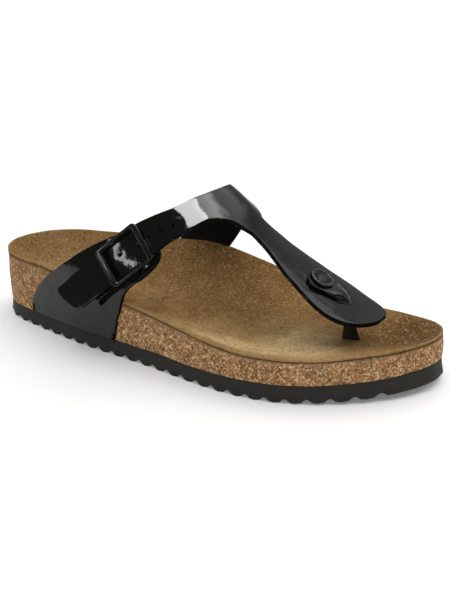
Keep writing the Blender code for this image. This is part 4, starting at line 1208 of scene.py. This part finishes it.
edge_wear_and_glint_group, given, results = make_group(
    "edge_wear_and_glint", [("Edge", 0.0), ("Scale", 700.0), ("Amount", 0.5)], ["Mask"])
patchy = noise(edge_wear_and_glint_group, given["Scale"], 5.0)
reach = sums(edge_wear_and_glint_group, "ADD", given["Edge"], sums(edge_wear_and_glint_group, "MULTIPLY", patchy, 0.9))
mask = add_node(edge_wear_and_glint_group, "MapRange", {"Value": reach, "From Min": 1.05, "From Max": 1.6}).outputs[0]
edge_wear_and_glint_group.links.new(sums(edge_wear_and_glint_group, "MULTIPLY", mask, given["Amount"]), results["Mask"])
print("shared groups:", [g.name for g in bpy.data.node_groups])

# %% [markdown]
# ### Foam outsole
# Moulded foam is matt with fine pores and a dusty look on the lugs that touch the floor.

# %% Foam
foam_black = new_finish("foam_black")
tree = foam_black.node_tree
grain = place_group(tree, grain_group, scale=1500.0, coarse=0.5)
wear_and_glint = place_group(tree, edge_wear_and_glint_group, edge=stored(tree, "edge"), scale=320.0, amount=0.6)["Mask"]
base = ramp(tree, grain["Value"], [(0.3, (0.014, 0.0130, 0.0105)), (0.7, (0.026, 0.0240, 0.0190))])
end_finish(foam_black, blend_colours(tree, wear_and_glint, base, (0.042, 0.038, 0.031, 1)), grain["Height"], 0.00015,
           ramp(tree, grain["Value"], [(0.3, 0.55), (0.7, 0.75)]), ior=1.33)
outsole.data.materials.append(foam_black)

# %% [markdown]
# ### Cork
# Pressed cork is broken granules in many browns with dark bark between them. Voronoi cells give each
# granule its own tint and a rounded height; under the cover the press has squeezed the top edge smoother
# and paler.

# %% Cork
cork = new_finish("cork")
tree = cork.node_tree
place = add_node(tree, "TexCoord").outputs["Object"]
warp = add_node(tree, "TexNoise", {"Vector": place, "Scale": 900.0, "Detail": 2.0}).outputs["Color"]
warp = add_node(tree, "VectorMath", {0: warp, 1: (0.0011,) * 3}, operation="MULTIPLY").outputs[0]
warped = add_node(tree, "VectorMath", {0: place, 1: warp}, operation="ADD").outputs[0]
granules = add_node(tree, "TexVoronoi", {"Vector": warped, "Scale": 1150.0, "Randomness": 1.0})
tint = add_node(tree, "SeparateColor", {0: granules.outputs["Color"]}).outputs[0]
chips = add_node(tree, "TexVoronoi", {"Vector": warped, "Scale": 420.0, "Randomness": 1.0})
chip_tint = add_node(tree, "SeparateColor", {0: chips.outputs["Color"]}).outputs[1]
cells = ramp(tree, tint, [
    (0.0, (0.20, 0.078, 0.023)), (0.2, (0.37, 0.170, 0.057)), (0.55, (0.57, 0.305, 0.115)),
    (0.8, (0.72, 0.435, 0.190)), (0.95, (0.90, 0.65, 0.36))])
broad = ramp(tree, chip_tint, [
    (0.0, (0.72, 0.66, 0.60)), (0.5, (0.98, 0.97, 0.96)), (1.0, (1.15, 1.15, 1.13))])
coloured = blend_colours(tree, 1.0, cells, broad, "MULTIPLY")
gaps = ramp(tree, granules.outputs["Distance"], [(0.35, 1.0), (0.75, 0.45)])
coloured = blend_colours(tree, 0.8, coloured, gaps, "MULTIPLY")
patches = ramp(tree, noise(tree, 160.0), [(0.35, 0.25), (0.6, 1.0)])
pressed = sums(tree, "MULTIPLY", sums(tree, "MULTIPLY", stored(tree, "pressed"), patches), 0.65)
coloured = blend_colours(tree, pressed, coloured, (0.45, 0.255, 0.105, 1))
glue = sums(tree, "MULTIPLY", stored(tree, "edge"), 0.7)
coloured = blend_colours(tree, glue, coloured, (0.10, 0.05, 0.022, 1))
height = sums(tree, "SUBTRACT", sums(tree, "MULTIPLY", tint, 0.5), granules.outputs["Distance"])
end_finish(cork, coloured, height, 0.00035, ramp(tree, tint, [(0.0, 0.7), (1.0, 0.9)]), ior=1.4)
footbed.data.materials.append(cork)

# %% [markdown]
# ### Suede
# Suede's short nap lies in different directions, so it shows cloudy light and dark patches, and fine
# flecks where fibres stand up. The cut edge of the sheet is paler. Broad patches make the cover paler or
# darker in places; the pale ones under the lobe and along the outer forefoot rim are painted light over the
# shade there.

# %% Suede
TONE_AND_PAINTED_LIGHT = np.array([
    # x, y, tone, spread along, spread across: paler where positive; the pale patches under the lobe and
    # along the outer forefoot rim are painted light
    (187, -38, 0.75, 24, 5), (213, -10, 0.75, 15, 10), (192, -6, 0.4, 14, 10), (243, -18, 0.25, 9, 9),
    (26, 14, 0.3, 18, 12), (70, -8, 0.2, 24, 12), (118, 26, -0.4, 22, 9), (160, 24, 0.15, 18, 10),
    (238, 24, -0.1, 10, 8), (160, -28, 0.3, 20, 9), (246, 12, -0.9, 11, 20), (207, -25, 1.1, 16, 9),
    (168, -44.5, 0.7, 26, 3.5)])
places = points_of(insole)
# tone: patches of lighter and darker cover, some of them painted light
mark(insole, "tone", 0.5 + 0.5 * bumps(TONE_AND_PAINTED_LIGHT, places[:, 0], places[:, 1]))

suede_tan = new_finish("suede_tan")
tree = suede_tan.node_tree
grain = place_group(tree, grain_group, scale=820.0, coarse=0.2)
clouds = noise(tree, 75.0, 5.0)
flecks = noise(tree, 900.0, 2.0, (1, 0.7, 1))
cloudy = sums(tree, "MULTIPLY", sums(tree, "SUBTRACT", clouds, 0.5), 0.45)
base = ramp(tree, sums(tree, "ADD", stored(tree, "tone"), cloudy), [
    (0.1, (0.130, 0.062, 0.016)), (0.5, (0.250, 0.133, 0.040)), (0.8, (0.420, 0.262, 0.105)),
    (1.0, (0.660, 0.460, 0.220))])
grainy = ramp(tree, grain["Value"], [(0.36, 0.50), (0.52, 0.96), (0.64, 1.0)])
base = blend_colours(tree, 1.0, base, grainy, "MULTIPLY")
base = blend_colours(tree, ramp(tree, flecks, [(0.55, 0.0), (0.66, 0.6)]), base, (0.48, 0.30, 0.13, 1))
rim_wear = place_group(tree, edge_wear_and_glint_group, edge=stored(tree, "edge"), scale=500.0, amount=0.8)["Mask"]
base = blend_colours(tree, rim_wear, base, (0.46, 0.29, 0.12, 1))
nap = sums(tree, "ADD", grain["Height"], sums(tree, "MULTIPLY", clouds, 0.8))
end_finish(suede_tan, base, nap, 0.0005, roughness=1.0, ior=1.2)
insole.data.materials.append(suede_tan)

# %% [markdown]
# ### Patent film, felt and cut edge
# Patent film is a clear hard coat over black: almost a mirror, but never quite flat, so reflections of
# lamps wander and break up. Felt and cut edges are matt fibres with pale flecks.

# %% Patent, felt, cut edge
tree = patent_black.node_tree
grain = place_group(tree, grain_group, scale=420.0, coarse=0.5)
wear_and_glint = place_group(tree, edge_wear_and_glint_group, edge=stored(tree, "edge"), scale=900.0, amount=0.25)["Mask"]
base = ramp(tree, grain["Value"], [(0.3, (0.0045, 0.0045, 0.0038)), (0.7, (0.0075, 0.0073, 0.0062))])
rough = sums(tree, "ADD", ramp(tree, noise(tree, 130.0, 5.0), [(0.35, 0.045), (0.7, 0.10)]),
             sums(tree, "MULTIPLY", wear_and_glint, 0.5))
peel = sums(tree, "ADD", noise(tree, 110.0, 1.0), sums(tree, "MULTIPLY", grain["Height"], 0.12))
end_finish(patent_black, blend_colours(tree, wear_and_glint, base, (0.03, 0.03, 0.028, 1)), peel, 0.00035, rough,
           ior=1.35)

for finish, dark, light, size in ((felt_lining, (0.010, 0.0095, 0.009), (0.045, 0.043, 0.04), 1900.0),
                                  (cut_edge, (0.004, 0.0038, 0.0034), (0.11, 0.10, 0.085), 1100.0)):
    tree = finish.node_tree
    grain = place_group(tree, grain_group, scale=size, coarse=0.15)
    fibres = noise(tree, size * 0.8, 5.0, (0.5, 1, 1.2))
    fibres = ramp(tree, fibres, [(0.45, dark), (0.58, dark), (0.72, light)])
    tinted = ramp(tree, grain["Value"], [(0.3, 0.6), (0.7, 1.4)])
    tinted = blend_colours(tree, 0.6, fibres, tinted, "MULTIPLY")
    end_finish(finish, tinted, grain["Height"], 0.0004, roughness=1.0, ior=1.15)

# %% [markdown]
# ### Buckle and button plastics
# Both are moulded black plastic: the buckle polished with faint scratches, the button duller in its dish.
# The pale colour along the buckle's inner edges and the button's rim is a painted highlight.

# %% Plastics
for name, rough, parts in (("buckle_black", (0.10, 0.22), (frame_ring, prong)),
                           ("button_black", (0.22, 0.40), (button,))):
    finish = new_finish(name)
    tree = finish.node_tree
    grain = place_group(tree, grain_group, scale=1300.0, coarse=0.4)
    wear_and_glint = place_group(tree, edge_wear_and_glint_group, edge=stored(tree, "edge"), scale=1400.0, amount=0.35)["Mask"]
    base = ramp(tree, grain["Value"], [(0.3, (0.006, 0.006, 0.0055)), (0.7, (0.011, 0.011, 0.010))])
    scratched = ramp(tree, noise(tree, 600.0, 6.0, (0.15, 1, 1)), [(0.35, rough[0]), (0.7, rough[1])])
    # the pale edge colour is a painted highlight line on the buckle's inner edges and the button's rim
    end_finish(finish, blend_colours(tree, wear_and_glint, base, (0.30, 0.30, 0.29, 1)), grain["Height"], 0.00006,
               scratched, ior=1.38)
    for item in parts:
        item.data.materials.append(finish)

# %% [markdown]
# ## Camera
# A product photographer stands at the shoe's outer front corner, a little above it, with a long lens. The
# camera is placed by its angles round the shoe, its distance and the point it looks at.

# %% Camera
def toward(azimuth, elevation):
    """Unit vector, azimuth in degrees from the front towards +x."""
    a, e = math.radians(azimuth), math.radians(elevation)
    return Vector((math.sin(a) * math.cos(e), -math.cos(a) * math.cos(e), math.sin(e)))


AZIMUTH = 32.25358
ELEVATION = 21.68095
ROLL = math.radians(-1.23868)
DISTANCE = 0.54812559
TARGET = Vector((0.0068187, 0.0156800, 0.020))

back = toward(AZIMUTH, ELEVATION)
right = (-back).cross(Vector((0, 0, 1))).normalized()
up = right.cross(-back)
tilted_right = right * math.cos(ROLL) + up * math.sin(ROLL)
tilted_up = up * math.cos(ROLL) - right * math.sin(ROLL)
lens = bpy.data.cameras.new("camera")
lens.lens = 59.7058
lens.sensor_width = 36.0
lens.clip_start = 0.01
spot = TARGET + back * DISTANCE
camera = in_scene("camera", lens)
camera.matrix_world = axes_at(tilted_right, tilted_up, back, spot)
bpy.context.scene.camera = camera
print("camera at", [round(v, 3) for v in spot], "m")

# %% [markdown]
# ## Floor and light
# The shoe stands on a pale sweep. Patent leather shows its surroundings, so they are shaped like a studio:
# white low down and behind, dark high up in front, with one large soft lamp nearly overhead and a small one
# in front to draw a bright line in the buckle's window.

# %% Floor
FLOOR_EDGE = 0.25           # metres from the shoe to the table's front edge
FLOOR_TURN = -40.0          # degrees that edge is turned about the shoe
floor_mesh = bpy.data.meshes.new("floor")
work = bmesh.new()
bmesh.ops.create_grid(work, x_segments=8, y_segments=8, size=4.0)
bmesh.ops.translate(work, verts=work.verts, vec=(0, 4.0 - FLOOR_EDGE, 0))
bmesh.ops.rotate(work, verts=work.verts, matrix=Matrix.Rotation(math.radians(FLOOR_TURN), 3, "Z"))
work.to_mesh(floor_mesh)
work.free()
in_scene("floor", floor_mesh)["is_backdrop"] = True
sweep = new_finish("pale_sweep")
end_finish(sweep, None, noise(sweep.node_tree, 40.0), 0.00002, base_color=(0.92, 0.92, 0.91, 1),
           roughness=0.9, emission_color=(1, 1, 1, 1), emission_strength=0.15)
floor_mesh.materials.append(sweep)

# %% Surroundings and lamps
studio = bpy.data.worlds.new("studio")
bpy.context.scene.world = studio
studio.use_nodes = True
tree = studio.node_tree
facing = add_node(tree, "TexCoord").outputs["Generated"]
direction = add_node(tree, "SeparateXYZ", {0: facing}).outputs


def fade(value, start, end):
    """0 to 1 as the value goes from start to end."""
    return add_node(tree, "MapRange", {"Value": value, "From Min": start, "From Max": end},
                    interpolation_type="SMOOTHSTEP").outputs[0]


GLOWS = (
    # azimuth, elevation, full and faded half width in degrees, radiance
    (165.0, 62.0, 12.0, 26.0, 2.1), (120.0, 79.0, 1.0, 19.0, 8.0), (70.0, 35.0, 10.0, 20.0, 0.8))
wall = sums(tree, "MULTIPLY", fade(direction["Y"], 0.10, 0.45), fade(direction["Z"], 0.78, 0.68))
glow = sums(tree, "ADD", sums(tree, "MULTIPLY", wall, 0.37), 0.15)
for azimuth, elevation, full, faded, radiance in GLOWS:
    near = add_node(tree, "VectorMath", {0: facing, 1: toward(azimuth, elevation)}, operation="DOT_PRODUCT")
    lobe = fade(near.outputs["Value"], math.cos(math.radians(faded)), math.cos(math.radians(full)))
    glow = sums(tree, "ADD", glow, sums(tree, "MULTIPLY", lobe, radiance))
tree.links.new(glow, tree.nodes["Background"].inputs["Strength"])
tree.nodes["Background"].inputs["Color"].default_value = (1, 1, 1, 1)
studio.cycles_visibility.diffuse = False

LAMPS = (
    # name, azimuth, elevation, strength, width of the lamp in degrees, seen by diffuse or glossy surfaces
    ("ceiling", 170.0, 62.0, 3.0, 96.0, "diffuse"), ("front_fill", -15.0, 38.0, 0.8, 90.0, "diffuse"),
    ("overhead", -16.0, 74.0, 5.3, 30.0, "glossy"))
for name, azimuth, elevation, strength, width, kind in LAMPS:
    lamp = bpy.data.lights.new(name, "SUN")
    lamp.energy = strength
    lamp.angle = math.radians(width)
    item = in_scene(name, lamp)
    item.visible_diffuse = kind == "diffuse"
    item.visible_glossy = kind == "glossy"
    item.rotation_euler = toward(azimuth, elevation).to_track_quat("Z", "Y").to_euler()
STRIP_AT = (69.0, -96.5, 69.5)          # a small lamp near the buckle, in the tables' millimetres
STRIP_AIM = (112.0, -42.5, 58.0)
STRIP_ALONG = (0.62, -0.30, -0.72)      # the direction of its long side
strip = bpy.data.lights.new("buckle_strip", "AREA")
strip.shape = "RECTANGLE"
strip.size = 4.2 * MM
strip.size_y = 22.0 * MM
strip.energy = 0.0036
item = in_scene("buckle_strip", strip)
item.visible_camera = False
item.visible_diffuse = False
middle = Vector(to_frame(STRIP_AT))
z = (middle - Vector(to_frame(STRIP_AIM))).normalized()
x = Vector(STRIP_ALONG).cross(z).normalized()
item.matrix_world = axes_at(x, z.cross(x), z, middle)
bpy.context.scene.view_settings.view_transform = "Standard"
print("lamps:", [lamp[0] for lamp in LAMPS])

# %% [markdown]
# ## Sizes
# The box that the visual pieces fill is printed.

# %% Sizes
low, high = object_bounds()
print("visual box in mm", [round((b - a) / MM, 1) for a, b in zip(low, high)])
